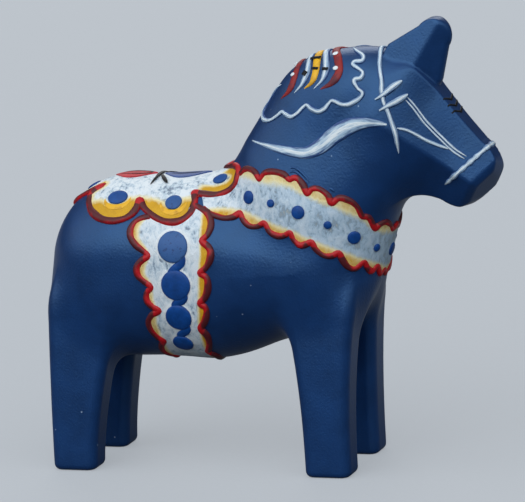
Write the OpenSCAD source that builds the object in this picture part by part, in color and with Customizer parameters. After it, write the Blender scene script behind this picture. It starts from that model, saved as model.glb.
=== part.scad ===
// Dala horse: a small cast figure with raised, hand-painted harness ornament.
// +X is the horse's front, +Y its left side, +Z up, and the soles stand on z = 0.
// The body is one smooth solid. Each ornament is a thin raised piece seated on its skin.

/* [Trunk] */
// Half of the trunk's width
trunk_half_width = 12; // [9:0.1:15]
// Centre of the haunch, along the horse
haunch_x = -24.6; // [-28:0.1:-21]
// Height of the haunch centre
haunch_z = 34.5; // [32:0.1:37]
// Radius of the haunch in the side view
haunch_r = 15.9; // [13:0.1:18]
// Centre of the belly, along the horse
belly_x = -10.7; // [-14:0.1:-7]
// Height of the belly centre
belly_z = 34.5; // [33:0.1:36]
// Radius of the belly in the side view
belly_r = 15.5; // [13:0.1:17]
// Centre of the chest, along the horse
chest_x = 6.8; // [4:0.1:9]
// Height of the chest centre
chest_z = 35.7; // [34:0.1:38]
// Radius of the chest in the side view
chest_r = 12.1; // [10:0.1:14]
// Depth over which the side outline rounds over into the flank
flank_round = 13.5; // [10:0.1:16]

/* [Neck] */
// Foot of the neck, along the horse
neck_x = 8.3; // [6:0.1:11]
// Height of the foot of the neck
neck_z = 49; // [46:0.1:52]
// Radius at the foot of the neck
neck_r = 14.6; // [12:0.1:16]
// Centre of the crest, along the horse
crest_x = 13.9; // [12:0.1:16]
// Height of the crest centre
crest_z = 57.9; // [55:0.1:60]
// Radius of the crest
crest_r = 14.2; // [12:0.1:15]
// Half of the neck's width at the crest
crest_half_width = 7.4; // [5:0.1:10]
// Height where the sides start to draw in
taper_from = 38; // [34:0.5:44]
// Height where the sides have drawn in
taper_to = 68; // [62:0.5:74]

/* [Head] */
// Centre of the cheek, along the horse
cheek_x = 21.7; // [19:0.1:24]
// Height of the cheek centre
cheek_z = 61.2; // [59:0.1:63]
// Radius of the cheek
cheek_r = 9.8; // [8:0.1:11]
// Half of the head's width at the cheek
cheek_half_width = 6.2; // [5:0.1:8]
// Centre of the muzzle, along the horse
muzzle_x = 34.2; // [32:0.1:37]
// Height of the muzzle centre
muzzle_z = 51.7; // [49:0.1:54]
// Radius of the muzzle
muzzle_r = 6.4; // [5:0.1:7.5]
// Half of the head's width at the muzzle
muzzle_half_width = 4.4; // [3.5:0.1:5.5]
// Distance of the muzzle's flat end from the muzzle centre
muzzle_cut = 5.7; // [4.5:0.1:7]
// Tilt of the muzzle's flat end below the horizontal
muzzle_tilt = 41; // [30:1:55]
// How much the head's sides draw in towards the brow
brow_slope = 0.31; // [0.15:0.01:0.45]
// How much the head's sides draw in towards the jaw
jaw_slope = 0.45; // [0.2:0.01:0.6]

/* [Ears] */
// Foot of the ears, along the horse
ear_x = 27; // [25:0.1:29]
// Height of the foot of the ears
ear_z = 70.1; // [68:0.1:72]
// Radius at the foot of the ears
ear_r = 5.1; // [4:0.1:6]
// Half width at the foot of the ears
ear_half_width = 4; // [3:0.1:5]
// Tip of the ears, along the horse
ear_tip_x = 30.4; // [28.5:0.1:33]
// Height of the centre of the ear tip
ear_tip_z = 74.9; // [73.5:0.1:79]
// Radius of the ear tip in the side view
ear_tip_r = 3.2; // [2.4:0.1:4]
// Half width at the ear tip
ear_tip_half_width = 2.7; // [2:0.1:3.4]
// Distance of the carved front facets from the middle of the ear tip
ear_facet = 2; // [1.4:0.1:3]

/* [Legs] */
// Centre of the hind feet, along the horse
hind_foot_x = -35.9; // [-38:0.1:-33]
// Half length of a hind foot
hind_foot_half = 4; // [3:0.1:5.5]
// Where the hind legs' centre line meets the haunch
hip_x = -32.2; // [-35:0.1:-30]
// Half length of a hind leg at the haunch
hip_half = 7.3; // [6:0.1:9]
// How late a hind leg flares out
hind_flare_power = 1.55; // [1:0.05:3]
// Centre of the front feet, along the horse
fore_foot_x = 10.3; // [8:0.1:13]
// Half length of a front foot
fore_foot_half = 4.1; // [3:0.1:5.5]
// Where the front legs' centre line meets the shoulder
shoulder_x = 9.8; // [8:0.1:12]
// Half length of a front leg at the shoulder
shoulder_half = 7.2; // [6:0.1:9]
// How late a front leg flares out
fore_flare_power = 2.4; // [1:0.05:3]
// Height at which the legs end inside the trunk
leg_top = 33; // [29:0.1:36]
// Inner face of a foot from the middle plane
foot_inner = 4.6; // [3:0.1:6]
// Outer face of a foot from the middle plane
foot_outer = 11.2; // [9.5:0.1:13]
// Inner face of a leg at its top
leg_top_inner = 1.9; // [1:0.1:3]
// Outer face of a leg at its top
leg_top_outer = 9.5; // [8:0.1:11]
// Rounding of a leg's upright edges
leg_edge = 1.8; // [1:0.1:2.4]
// Rounding around the soles
sole_edge = 1.2; // [0.6:0.1:2]

/* [Ornament] */
// Length of ten units of the ornament's layout
layout_length = 10; // [9:0.1:11]
// Width of the red rims
rim_width = 1.25; // [0.8:0.05:1.6]
// Height of the red rims
rim_height = 0.55; // [0.3:0.05:0.9]
// Thickness of the white fields
field_thickness = 0.25; // [0.15:0.05:0.4]
// Width of the white cords on the neck and head
cord_width = 0.85; // [0.5:0.05:1.2]
// Height of the white cords
cord_height = 0.4; // [0.2:0.05:0.7]
// Greatest width of the rein stroke
rein_width = 2.2; // [1.4:0.1:2.8]
// Width of the crest petals
petal_width = 1.4; // [1:0.1:1.6]
// Height of dots, beads, leaves and petals
dot_height = 0.4; // [0.2:0.05:0.7]
// Radius of the largest bead on the girth
bead_r = 2.55; // [1.8:0.05:2.7]
// Radius of the dots on the saddle
saddle_dot_r = 1.3; // [0.8:0.1:1.7]
// Radius of the dots on the breast band
band_dot_r = 1.15; // [0.6:0.05:1.6]
// Middle of the girth, along the horse
girth_x = -14.3; // [-16:0.1:-13]
// Half width of the girth at its uppermost cusps
girth_half = 5; // [4.4:0.1:5.6]
// Drop of the saddle's big lobes down the flank, in degrees round the trunk
saddle_drop_angle = 50; // [44:1:54]

/* [Hidden] */

// Size of the cells that the body's skin is drawn with
skin_cell = 1.9;
// Soft joints of the trunk, the neck, the head, the ears and the legs
trunk_blend = 2;
neck_blend = 7;
head_blend = 5;
ear_blend = 0.8;
leg_blend = 4;
// Softness of the carved edges of the head and of the ears
head_edge = 0.8;
ear_edge = 0.7;
ear_chamfer = 1.2;
flank_soft = 6;
leg_top_soft = 6;

haunch = [haunch_x, haunch_z, haunch_r];
belly = [belly_x, belly_z, belly_r];
chest = [chest_x, chest_z, chest_r];
neck = [neck_x, neck_z, neck_r];
crest = [crest_x, crest_z, crest_r];
cheek = [cheek_x, cheek_z, cheek_r, cheek_half_width];
muzzle = [muzzle_x, muzzle_z, muzzle_r, muzzle_half_width];
ear = [ear_x, ear_z, ear_r, ear_half_width];
ear_tip = [ear_tip_x, ear_tip_z, ear_tip_r, ear_tip_half_width];
muzzle_normal = [cos(muzzle_tilt), -sin(muzzle_tilt)];

blue = "#24427c";
red = "#a8231f";
white = "#cfdbe4";
yellow = "#dba524";
bead_blue = "#23509a";
black = "#1a1d22";

// Plain helpers
function mix(a, b, t) = a + (b - a) * t;
function unit(t) = min(max(t, 0), 1);
function ease(t) = let (c = unit(t)) c * c * (3 - 2 * c);
function soft_min(a, b, k) = let (h = max(k - abs(a - b), 0) / k) min(a, b) - h * h * k / 4;
function soft_max(a, b, k) = -soft_min(-a, -b, k);
function direction(v) = v / norm(v);
function sum(v) = v * [for (x = v) 1];
function flip_y(p) = [p[0], -p[1], p[2]];
// Millimetres of a place or a size in the ornament's layout
function lay(v) = v * layout_length / 10;

// Distance in the side view to a tapered bar between the circles a and b
function bar(x, z, a, b) =
    let (dx = b[0] - a[0],
         dz = b[1] - a[1],
         t = unit(((x - a[0]) * dx + (z - a[1]) * dz) / (dx * dx + dz * dz)))
    norm([x - a[0] - dx * t, z - a[1] - dz * t]) - mix(a[2], b[2], t);

// Flat-sided tapered bar with chamfered edges, for the ears
function carved_bar(p, a, b, chamfer, edge) =
    let (dx = b[0] - a[0],
         dz = b[1] - a[1],
         t = ((p[0] - a[0]) * dx + (p[2] - a[1]) * dz) / (dx * dx + dz * dz),
         outline = bar(p[0], p[2], a, b),
         side = abs(p[1]) - mix(a[3], b[3], min(max(t, -0.5), 1.6)))
    soft_max(soft_max(outline, side, edge), (outline + side) * sqrt(0.5) + chamfer, edge);

// Trunk and neck: the side outline, rounded over into flanks that draw in upwards
function trunk(p) =
    let (back = soft_min(bar(p[0], p[2], haunch, belly), bar(p[0], p[2], belly, chest), trunk_blend),
         outline = soft_min(back, bar(p[0], p[2], neck, crest), neck_blend),
         w = mix(trunk_half_width, crest_half_width, ease((p[2] - taper_from) / (taper_to - taper_from))),
         depth = soft_max(outline + flank_round, 0, flank_soft))
    (norm([depth, p[1] * flank_round / w]) - flank_round) * min(1, w / flank_round);

// Head with a flat brow, sides that bend at mid height, and a flat muzzle end
head_length = norm([muzzle_x - cheek_x, muzzle_z - cheek_z]);
brow = direction([cheek_z - muzzle_z, 0, muzzle_x - cheek_x]);
function head(p) =
    let (x = p[0] - cheek_x,
         z = p[2] - cheek_z,
         t = (x * brow[2] - z * brow[0]) / head_length,
         v = x * brow[0] + z * brow[2],
         side = abs(p[1]) - mix(cheek_half_width, muzzle_half_width, min(max(t, -0.5), 1.6)),
         upper = (side + v * brow_slope) / norm([1, brow_slope]),
         lower = (side - v * jaw_slope) / norm([1, jaw_slope]),
         end = (p[0] - muzzle_x) * muzzle_normal[0] + (p[2] - muzzle_z) * muzzle_normal[1] - muzzle_cut,
         outline = soft_max(bar(p[0], p[2], cheek, muzzle), end, head_edge))
    soft_max(soft_max(upper, lower, head_edge), outline, head_edge);
// Ears, carved in one block. Each side of their front is one broad facet that turns down and outwards
ear_facet_normal = direction([0.93, 1, -0.31]);
function ears(p) =
    soft_max(carved_bar(p, ear, ear_tip, ear_chamfer, ear_edge),
             [p[0] - ear_tip_x, abs(p[1]), p[2] - ear_tip_z] * ear_facet_normal - ear_facet,
             ear_edge);

// One leg: a rounded bar that flares into the trunk, with a flat sole
function leg(p, foot_x, foot_half, top_x, top_half, flare) =
    let (f = pow(unit(p[2] / leg_top), flare),
         inner = mix(foot_inner, leg_top_inner, f),
         outer = mix(foot_outer, leg_top_outer, f),
         qx = abs(p[0] - mix(foot_x, top_x, f)) - mix(foot_half, top_half, f) + leg_edge,
         qy = abs(abs(p[1]) - (inner + outer) / 2) - (outer - inner) / 2 + leg_edge,
         wall = norm([max(qx, 0), max(qy, 0)]) + min(max(qx, qy), 0) - leg_edge)
    soft_max(soft_max(wall, p[2] - leg_top, leg_top_soft), -p[2], sole_edge);
function hind_leg(p) = leg(p, hind_foot_x, hind_foot_half, hip_x, hip_half, hind_flare_power);
function fore_leg(p) = leg(p, fore_foot_x, fore_foot_half, shoulder_x, shoulder_half, fore_flare_power);

// The whole body: below zero inside, zero on the skin
head_starts = cheek_x - cheek_r - head_blend;
legs_end = leg_top + leg_blend + 2;
function horse(p) =
    let (d = trunk(p),
         h = p[0] < head_starts ? d : soft_min(soft_min(d, head(p), head_blend), ears(p), ear_blend))
    p[2] > legs_end ? h : soft_min(soft_min(h, hind_leg(p), leg_blend), fore_leg(p), leg_blend);

function slope(p, e = 0.02) =
    [horse(p + [e, 0, 0]) - horse(p - [e, 0, 0]),
     horse(p + [0, e, 0]) - horse(p - [0, e, 0]),
     horse(p + [0, 0, e]) - horse(p - [0, 0, e])] / (2 * e);
function outward(p) = direction(slope(p));

// Grid around the body, with a mirror image across y = 0
grid_x0 = min(haunch_x - haunch_r, hind_foot_x - hind_foot_half) - 2 * skin_cell;
grid_x1 = max(muzzle_x + muzzle_r, ear_tip_x + ear_tip_r, chest_x + chest_r) + 2 * skin_cell;
grid_y1 = max(trunk_half_width, foot_outer) + 2 * skin_cell;
grid_z0 = -1.5 * skin_cell;
grid_z1 = max(ear_tip_z + ear_tip_r, crest_z + crest_r) + 2 * skin_cell;
nx = ceil((grid_x1 - grid_x0) / skin_cell);
ny = ceil(grid_y1 / skin_cell);
nz = ceil((grid_z1 - grid_z0) / skin_cell);
block = 4;
block_reach = 1.35 * skin_cell * block;
function grid_point(i, j, k) = [grid_x0 + i * skin_cell, j * skin_cell, grid_z0 + k * skin_cell];

// Distances on the grid, worked out only in blocks of cells that the skin may pass
function block_values() =
    [for (i = [0 : floor(nx / block)])
        [for (j = [0 : floor(ny / block)])
            [for (k = [0 : floor(nz / block)])
                horse(grid_point((i + 0.5) * block, (j + 0.5) * block, (k + 0.5) * block))]]];
function grid_values(far) =
    [for (i = [0 : nx])
        [for (j = [0 : ny])
            [for (k = [0 : nz])
                let (v = far[floor(i / block)][floor(j / block)][floor(k / block)])
                abs(v) > block_reach ? v : horse(grid_point(i, j, k))]]];

// The corners of a cell, and its twelve edges as pairs of corners
corner = [for (c = [0 : 7]) [c % 2, floor(c / 2) % 2, floor(c / 4)]];
cell_edges = [for (a = [0 : 7]) for (axis = [0 : 2]) if (corner[a][axis] == 0) [a, a + pow(2, axis)]];
function corner_value(v, i, j, k, c) = v[i + corner[c][0]][j + corner[c][1]][k + corner[c][2]];
function crosses(v, i, j, k) =
    let (c = [for (n = [0 : 7]) corner_value(v, i, j, k, n)])
    min(c) < 0 && max(c) >= 0;

// A cell's point: the middle of its edge crossings, drawn onto the skin
function cell_point(v, i, j, k) =
    let (hits = [for (e = cell_edges)
                    let (a = corner_value(v, i, j, k, e[0]),
                         b = corner_value(v, i, j, k, e[1]))
                    if ((a < 0) != (b < 0)) mix(corner[e[0]], corner[e[1]], a / (a - b))],
         mean = [for (axis = [0 : 2]) sum([for (h = hits) h[axis]])] / len(hits))
    settle(grid_point(i, j, k) + mean * skin_cell, 2);
function settle(p, n) =
    n == 0 ? [p[0], p[1], abs(p[2]) < 0.05 ? 0 : p[2]] :
    let (g = slope(p)) settle(p - g * horse(p) / (g * g), n - 1);

// Two triangles for the four cells round a crossed grid edge, split along the shorter diagonal
function facet(points, q, turned) =
    let (r = turned ? [q[3], q[2], q[1], q[0]] : q)
    norm(points[r[0]] - points[r[2]]) < norm(points[r[1]] - points[r[3]])
        ? [[r[0], r[1], r[2]], [r[0], r[2], r[3]]]
        : [[r[0], r[1], r[3]], [r[1], r[2], r[3]]];

module skin_solid() {
    v = grid_values(block_values());
    used = [for (i = [0 : nx - 1]) [for (j = [0 : ny - 1]) [for (k = [0 : nz - 1])
        crosses(v, i, j, k) ? 1 : 0]]];
    per_column = [for (i = [0 : nx - 1]) for (j = [0 : ny - 1]) sum(used[i][j])];
    first = [for (n = 0, s = 0; n < len(per_column); s = s + per_column[n], n = n + 1) s];
    number = [for (i = [0 : nx - 1]) [for (j = [0 : ny - 1])
        [for (k = 0, s = first[i * ny + j]; k < nz; s = s + used[i][j][k], k = k + 1) s]]];
    half = [for (i = [0 : nx - 1]) for (j = [0 : ny - 1]) for (k = [0 : nz - 1])
        if (used[i][j][k] == 1) cell_point(v, i, j, k)];
    points = concat(half, [for (p = half) flip_y(p)]);
    function id(i, j, k) = j < 0 ? len(half) + number[i][-1 - j][k] : number[i][j][k];
    function inside(i, j, k) = v[i][abs(j)][k] < 0;
    across_x = [for (i = [0 : nx - 1]) for (j = [1 - ny : ny - 1]) for (k = [1 : nz - 1])
        if (inside(i, j, k) != inside(i + 1, j, k))
            each facet(points, [id(i, j - 1, k - 1), id(i, j, k - 1), id(i, j, k), id(i, j - 1, k)],
                       inside(i, j, k))];
    across_y = [for (i = [1 : nx - 1]) for (j = [-ny : ny - 1]) for (k = [1 : nz - 1])
        if (inside(i, j, k) != inside(i, j + 1, k))
            each facet(points, [id(i - 1, j, k - 1), id(i, j, k - 1), id(i, j, k), id(i - 1, j, k)],
                       !inside(i, j, k))];
    across_z = [for (i = [1 : nx - 1]) for (j = [1 - ny : ny - 1]) for (k = [0 : nz - 1])
        if (inside(i, j, k) != inside(i, j, k + 1))
            each facet(points, [id(i - 1, j - 1, k), id(i, j - 1, k), id(i, j, k), id(i - 1, j, k)],
                       inside(i, j, k))];
    polyhedron(points, concat(across_x, across_y, across_z));
}

// The point of the skin that a ray from inside the body meets
function skin(from, toward) = from + toward * skin_reach(from, toward, 0, 18);
function skin_reach(from, toward, t, n) =
    n == 0 ? t : skin_reach(from, toward, t - horse(from + toward * t), n - 1);

// Ways to name a place on the skin
// Round the trunk: x along the horse, and the angle from the back down the right side, on an oval that
// follows the trunk's width and height
trunk_axis_z = (haunch_z + belly_z) / 2 + lay(1.5);
trunk_round_share = 0.774;
function on_trunk(x, angle) =
    skin([x, 0, trunk_axis_z],
         direction([0, -sin(angle) * trunk_half_width, cos(angle) * belly_r * trunk_round_share]));
// Round the crest: the angle up from straight ahead, and the angle out to the right side
function on_crest(up, out) =
    skin([crest_x, 0, crest_z], [cos(out) * cos(up), -sin(out), cos(out) * sin(up)]);
// Round the chest: the angle from straight ahead to the right side, and the height over the chest centre.
// Past the side the angle leans back towards the girth, and the height follows the back
chest_axis_x = chest_x - lay(3.5);
flank_share = 0.52;
back_rise = belly_z + belly_r - chest_z - lay(14.3);
function on_chest(angle, h) =
    let (z = chest_z + h + back_rise * ease((angle - 40) / 80))
    angle > 90
        ? skin([chest_axis_x - (chest_axis_x - girth_x) * flank_share * tan(angle - 90), 0, z], [0, -1, 0])
        : skin([chest_axis_x, 0, z], direction([cos(angle) * chest_r, -sin(angle) * trunk_half_width, 0]));
// On the right side: along and up from a centre in the side view
function on_side(c, q) = skin([c[0] + lay(q[0]), 0, c[1] + lay(q[1])], [0, -1, 0]);
// On the right side of the head: the share of the way from cheek to muzzle, and how far towards the brow
function head_axis(s) = [mix(cheek_x, muzzle_x, s), 0, mix(cheek_z, muzzle_z, s)];
function on_head(s, v) = skin(head_axis(s) + brow * lay(v), [0, -1, 0]);

// Smooth curve through a list of places, with n steps in each span
function spline_point(a, b, c, d, t) =
    b + (c - a) * t / 2 + (a * 2 - b * 5 + c * 4 - d) * t * t / 2 + (b * 3 - a - c * 3 + d) * t * t * t / 2;
function spline(k, n) =
    let (m = len(k) - 1)
    concat([for (i = [0 : m - 1]) for (s = [0 : n - 1])
        spline_point(k[max(i - 1, 0)], k[i], k[i + 1], k[min(i + 2, m)], s / n)], [k[m]]);

// A list the other way round
function turned(k) = [for (i = [len(k) - 1 : -1 : 0]) k[i]];

// Round-topped bar along a path on the skin, with a width factor for each of its points
bar_section = [[-0.5, 0], [-0.36, 0.72], [0, 1], [0.36, 0.72], [0.5, 0]];
module skin_bar(path, width, height, taper = [], closed = false, lift = 0) {
    n = len(path);
    m = len(bar_section);
    points = [for (i = [0 : n - 1])
        let (ahead = closed ? path[(i + 1) % n] : path[min(i + 1, n - 1)],
             behind = closed ? path[(i + n - 1) % n] : path[max(i - 1, 0)],
             up = outward(path[i]),
             side = direction(cross(up, ahead - behind)),
             f = len(taper) == n ? taper[i] : 1,
             base = is_list(lift) ? lift[i] : lift)
        for (s = bar_section) path[i] + side * s[0] * width * f + up * (s[1] * height * sqrt(f) + base)];
    rings = closed ? n : n - 1;
    walls = [for (i = [0 : rings - 1]) for (j = [0 : m - 1])
        let (a = i * m + j,
             b = i * m + (j + 1) % m,
             c = (i + 1) % n * m + (j + 1) % m,
             d = (i + 1) % n * m + j)
        each [[a, c, b], [a, d, c]]];
    caps = closed ? [] : [for (j = [1 : m - 2]) each [[0, j, j + 1],
        [(n - 1) * m, (n - 1) * m + j + 1, (n - 1) * m + j]]];
    polyhedron(points, concat(walls, caps));
}
// Width factors that draw a stroke to a point at each end
function pointed(n, first, last) =
    [for (i = [0 : n - 1])
        let (t = i / (n - 1))
        max(0.12, min(1, first == 0 ? 1 : t / first, last == 0 ? 1 : (1 - t) / last))];

// Thin plate that follows the skin, from rows of skin points
module skin_plate(rows, thickness, lift = 0) {
    r = len(rows);
    c = len(rows[0]);
    flat = [for (row = rows) each row];
    up = [for (p = flat) outward(p)];
    points = concat([for (i = [0 : len(flat) - 1]) flat[i] + up[i] * lift],
                    [for (i = [0 : len(flat) - 1]) flat[i] + up[i] * (lift + thickness)]);
    n = r * c;
    faces = [for (i = [0 : r - 2]) for (j = [0 : c - 2])
        let (a = i * c + j)
        each [[a, a + 1, a + c + 1], [a, a + c + 1, a + c],
              [n + a, n + a + c + 1, n + a + 1], [n + a, n + a + c, n + a + c + 1]]];
    rim = concat([for (j = [0 : c - 1]) j],
                 [for (i = [1 : r - 1]) i * c + c - 1],
                 [for (j = [1 : c - 1]) r * c - 1 - j],
                 [for (i = [1 : r - 2]) (r - 1 - i) * c]);
    sides = [for (i = [0 : len(rim) - 1])
        let (a = rim[i], b = rim[(i + 1) % len(rim)])
        each [[a, n + a, n + b], [a, n + b, b]]];
    polyhedron(points, concat(faces, sides));
}

// Low dome on the skin round a centre point; stretch and turn make it a leaf
dome_sides = 12;
module skin_dome(centre, radius, height, lift = 0, along = [1, 0, 0], stretch = 1) {
    up = outward(centre);
    side = direction(cross(up, along));
    ahead = cross(side, up);
    function ring(f) = [for (i = [0 : dome_sides - 1])
        let (a = 360 * i / dome_sides,
             p = centre + (ahead * cos(a) * stretch + side * sin(a)) * radius * f)
        skin(p - up * 2.5, up)];
    outer = ring(1);
    inner = ring(0.6);
    points = concat([centre + up * lift], [for (p = outer) p + up * lift],
                    [for (p = inner) p + up * (lift + height * 0.8)], [centre + up * (lift + height)]);
    n = dome_sides;
    faces = [for (i = [0 : n - 1])
        let (a = 1 + i, b = 1 + (i + 1) % n)
        each [[0, a, b], [a, a + n, b + n], [a, b + n, b], [a + n, 2 * n + 1, b + n]]];
    polyhedron(points, faces);
}

module mirror_left() {
    mirror([0, 1, 0]) children();
}

// Saddle: three lobes a side. Each place is x from the girth's middle, and degrees round the trunk.
// The outline goes from the back round the lobes' lower edge to the front
degrees_per_mm = 360 / (PI * (belly_r + trunk_half_width));
saddle_rear = [[-14.5, 5], [-15.7, 11], [-16.9, 15.7], [-17.5, 21.2]];
saddle_low = [[-17.5, 24], [-17.2, 30.2], [-16.3, 38.7], [-14.8, 45.3], [-13.2, 48.8], [-11.3, 49.8],
              [-9.5, 47.6], [-8.3, 43.3], [-7.7, 37.6], [-7.5, 33], [-6.6, 37.5], [-5.4, 42.4], [-3.8, 47.1],
              [-1.9, 50.1], [0, 50.1], [1.4, 47.1], [2.4, 41.6], [2.6, 34.5], [2.7, 28.5], [3.6, 26],
              [5.3, 26.7], [7.1, 26.2], [8.6, 25], [9.7, 22.8], [10.1, 19.5]];
saddle_front = [[10, 17.5], [9.2, 13], [8, 7.5], [7.4, 3.5]];
function drop(angle) = angle * saddle_drop_angle / 50;
function on_saddle(q) = on_trunk(girth_x + lay(q[0]), drop(q[1]));
field_inset = rim_width / 2;
function saddle_edge(u) = drop(lookup(u, saddle_low)) - field_inset * degrees_per_mm;
function saddle_top(u) =
    u < saddle_rear[0][0] ? drop(lookup(u, turned(saddle_rear))) + field_inset * degrees_per_mm :
    u > saddle_front[3][0] ? drop(lookup(u, turned(saddle_front))) + field_inset * degrees_per_mm : 0;

module saddle_field() {
    inset = field_inset * 10 / layout_length;
    u0 = saddle_low[0][0] + inset;
    u1 = saddle_low[len(saddle_low) - 1][0] - inset;
    n = 26;
    rows = [for (i = [0 : n])
        let (u = mix(u0, u1, i / n),
             low = saddle_edge(u),
             top = min(saddle_top(u), low - 3))
        [for (j = [0 : 5]) on_trunk(girth_x + lay(u), mix(top, low, j / 5))]];
    color(white) skin_plate(rows, field_thickness);
}
module saddle_field_right() {
    saddle_field();
}
module saddle_field_left() {
    mirror_left() saddle_field();
}
module saddle_rim() {
    right = [for (q = spline(concat(saddle_rear, saddle_low, saddle_front), 2)) on_saddle(q)];
    left = [for (p = turned(right)) flip_y(p)];
    color(red) skin_bar(concat(right, left), rim_width, rim_height, closed = true);
}
// Place of each dot in its lobe, its size factor and its stretch along the horse
saddle_dot_places = [[-11.6, 30, 1, 1.25], [-1.2, 34, 1, 1.1], [6.3, 15, 0.75, 1.2]];
module saddle_dots() {
    for (d = saddle_dot_places)
        color(bead_blue)
            skin_dome(on_saddle(d), saddle_dot_r * d[2], dot_height, field_thickness, stretch = d[3]);
}
module saddle_dots_right() {
    saddle_dots();
}
module saddle_dots_left() {
    mirror_left() saddle_dots();
}
// Crescents of yellow under the dots of the two big lobes
crescent_gap = 1.3;
module saddle_crescents() {
    for (i = [0, 1]) {
        c = saddle_dot_places[i];
        path = [for (a = [-20 : 20 : 200])
            on_trunk(girth_x + lay(c[0]) + (saddle_dot_r * c[3] + crescent_gap) * cos(a),
                     drop(c[1]) + (saddle_dot_r + crescent_gap) * degrees_per_mm * sin(a))];
        color(yellow) skin_bar(path, cord_width, cord_height * 0.7, pointed(len(path), 0.4, 0.4),
                               lift = field_thickness);
    }
}
module saddle_crescents_right() {
    saddle_crescents();
}
module saddle_crescents_left() {
    mirror_left() saddle_crescents();
}
// Leaves along the middle of the back, by their ends and their greatest half width in degrees
leaf_red = [-14.2, -6.6, 9.5];
leaf_blue = [-5.2, 3.4, 8.2];
leaf_thickness = dot_height / 2;
module saddle_leaf(leaf, tone) {
    n = 8;
    rows = [for (i = [0 : n])
        let (w = leaf[2] * max(0.08, sin(180 * i / n)))
        [for (j = [0 : 4]) on_saddle([mix(leaf[0], leaf[1], i / n), mix(-w, w, j / 4)])]];
    color(tone) skin_plate(rows, leaf_thickness, field_thickness);
}
module saddle_leaf_red() {
    saddle_leaf(leaf_red, red);
}
module saddle_leaf_blue() {
    saddle_leaf(leaf_blue, bead_blue);
}
// Fine black strokes: one across the back between the leaves, one short one a side, and the leaves' midribs
vein_width = lay(0.55);
vein_height = lay(0.15);
module vein(from, to, lift) {
    path = [for (i = [0 : 4]) on_saddle(mix(from, to, i / 4))];
    color(black) skin_bar(path, vein_width, vein_height, pointed(5, 0.4, 0.4), lift = lift);
}
module saddle_veins() {
    across = [[-6.4, 18], [-6, 9], [-5.9, 0], [-6, -9], [-6.4, -18]];
    path = [for (q = spline(across, 3)) on_saddle(q)];
    ends = pointed(len(path), 0.15, 0.15);
    color(black) skin_bar(path, vein_width, vein_height, ends, lift = field_thickness);
    vein([-5, 10], [-3.5, 16], field_thickness);
    mirror_left() vein([-5, 10], [-3.5, 16], field_thickness);
    for (leaf = [leaf_red, leaf_blue])
        vein([mix(leaf[0], leaf[1], 0.25), 0], [mix(leaf[0], leaf[1], 0.75), 0],
             field_thickness + leaf_thickness);
}

// Girth: a scalloped band from the saddle down round the belly. Each place of its rear and front edge is
// degrees round the trunk, and x from the girth's middle
girth_rear = [[46, -5], [47.5, -6.5], [51.5, -7.7], [58, -8.2], [64, -7.9], [69.5, -6.9], [73.5, -5.7],
              [77.5, -4.9], [81.5, -6], [87, -6.9], [93.5, -6.8], [98, -5.9], [103, -4.7], [108, -5.4],
              [113.5, -5.5], [118, -4.7], [121, -3.9], [124.5, -5], [129.5, -5.8], [136, -5.7], [142, -4.9],
              [145.5, -4.4], [151, -5], [158, -5.3], [165, -4.8], [169, -4.2], [174, -4.8], [180, -5]];
girth_front = [[39, 4.1], [42.5, 5.3], [48, 6], [53.5, 6.2], [60, 5.8], [65, 5], [70, 6.1], [75, 6.5],
               [81.5, 6.2], [87, 5.4], [91, 4.6], [95, 5.6], [103, 5.7], [110, 5.1], [115, 4.2], [118, 4.9],
               [122.5, 5], [128.5, 4.4], [133.5, 3.6], [139, 4.2], [146.5, 4.1], [153, 3.4], [156, 3.2],
               [161, 3.9], [169, 3.9], [174, 3.4], [180, 3.3]];
// Edges of the breast band. Each place is degrees round the chest from straight ahead, and the height over
// the chest centre
band_upper = [[0, 6.4], [5, 6], [8.5, 6.9], [13, 7.6], [17, 7.4], [20, 7.2], [24.5, 9], [28.5, 9.6],
              [31.5, 11.2], [35, 12.3], [40, 12.9], [44.3, 12.2], [46, 13.4], [50, 14.4], [54.7, 14.5],
              [58.5, 13.8], [62, 15.3], [67, 16.1], [78, 16.7], [89.5, 17.1], [99.5, 16.8], [105.3, 15.9],
              [111, 16.7], [118, 17.1], [123.5, 16.8], [127, 16]];
band_lower = [[0, -2.1], [4.5, -1.3], [8.5, -1.7], [13.3, -0.2], [17.5, -0.7], [21, -0.1], [24.6, 1],
              [30.3, 0.3], [35, 0.8], [38.5, 2.1], [41, 3.3], [45.3, 3], [50.7, 3.2], [55.5, 4.3], [58, 5.4],
              [61.6, 5.2], [66.7, 5], [71.5, 5.9], [74, 7], [79.4, 6.6], [86, 6.5], [94.4, 7.2], [99.6, 8.3],
              [108, 7.9], [115.7, 7.9], [121.5, 8.7], [125, 9.6], [130, 9.2], [135, 9], [139.3, 9.3],
              [142.4, 9.7], [145, 10.3]];
band_rear = 145;
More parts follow.
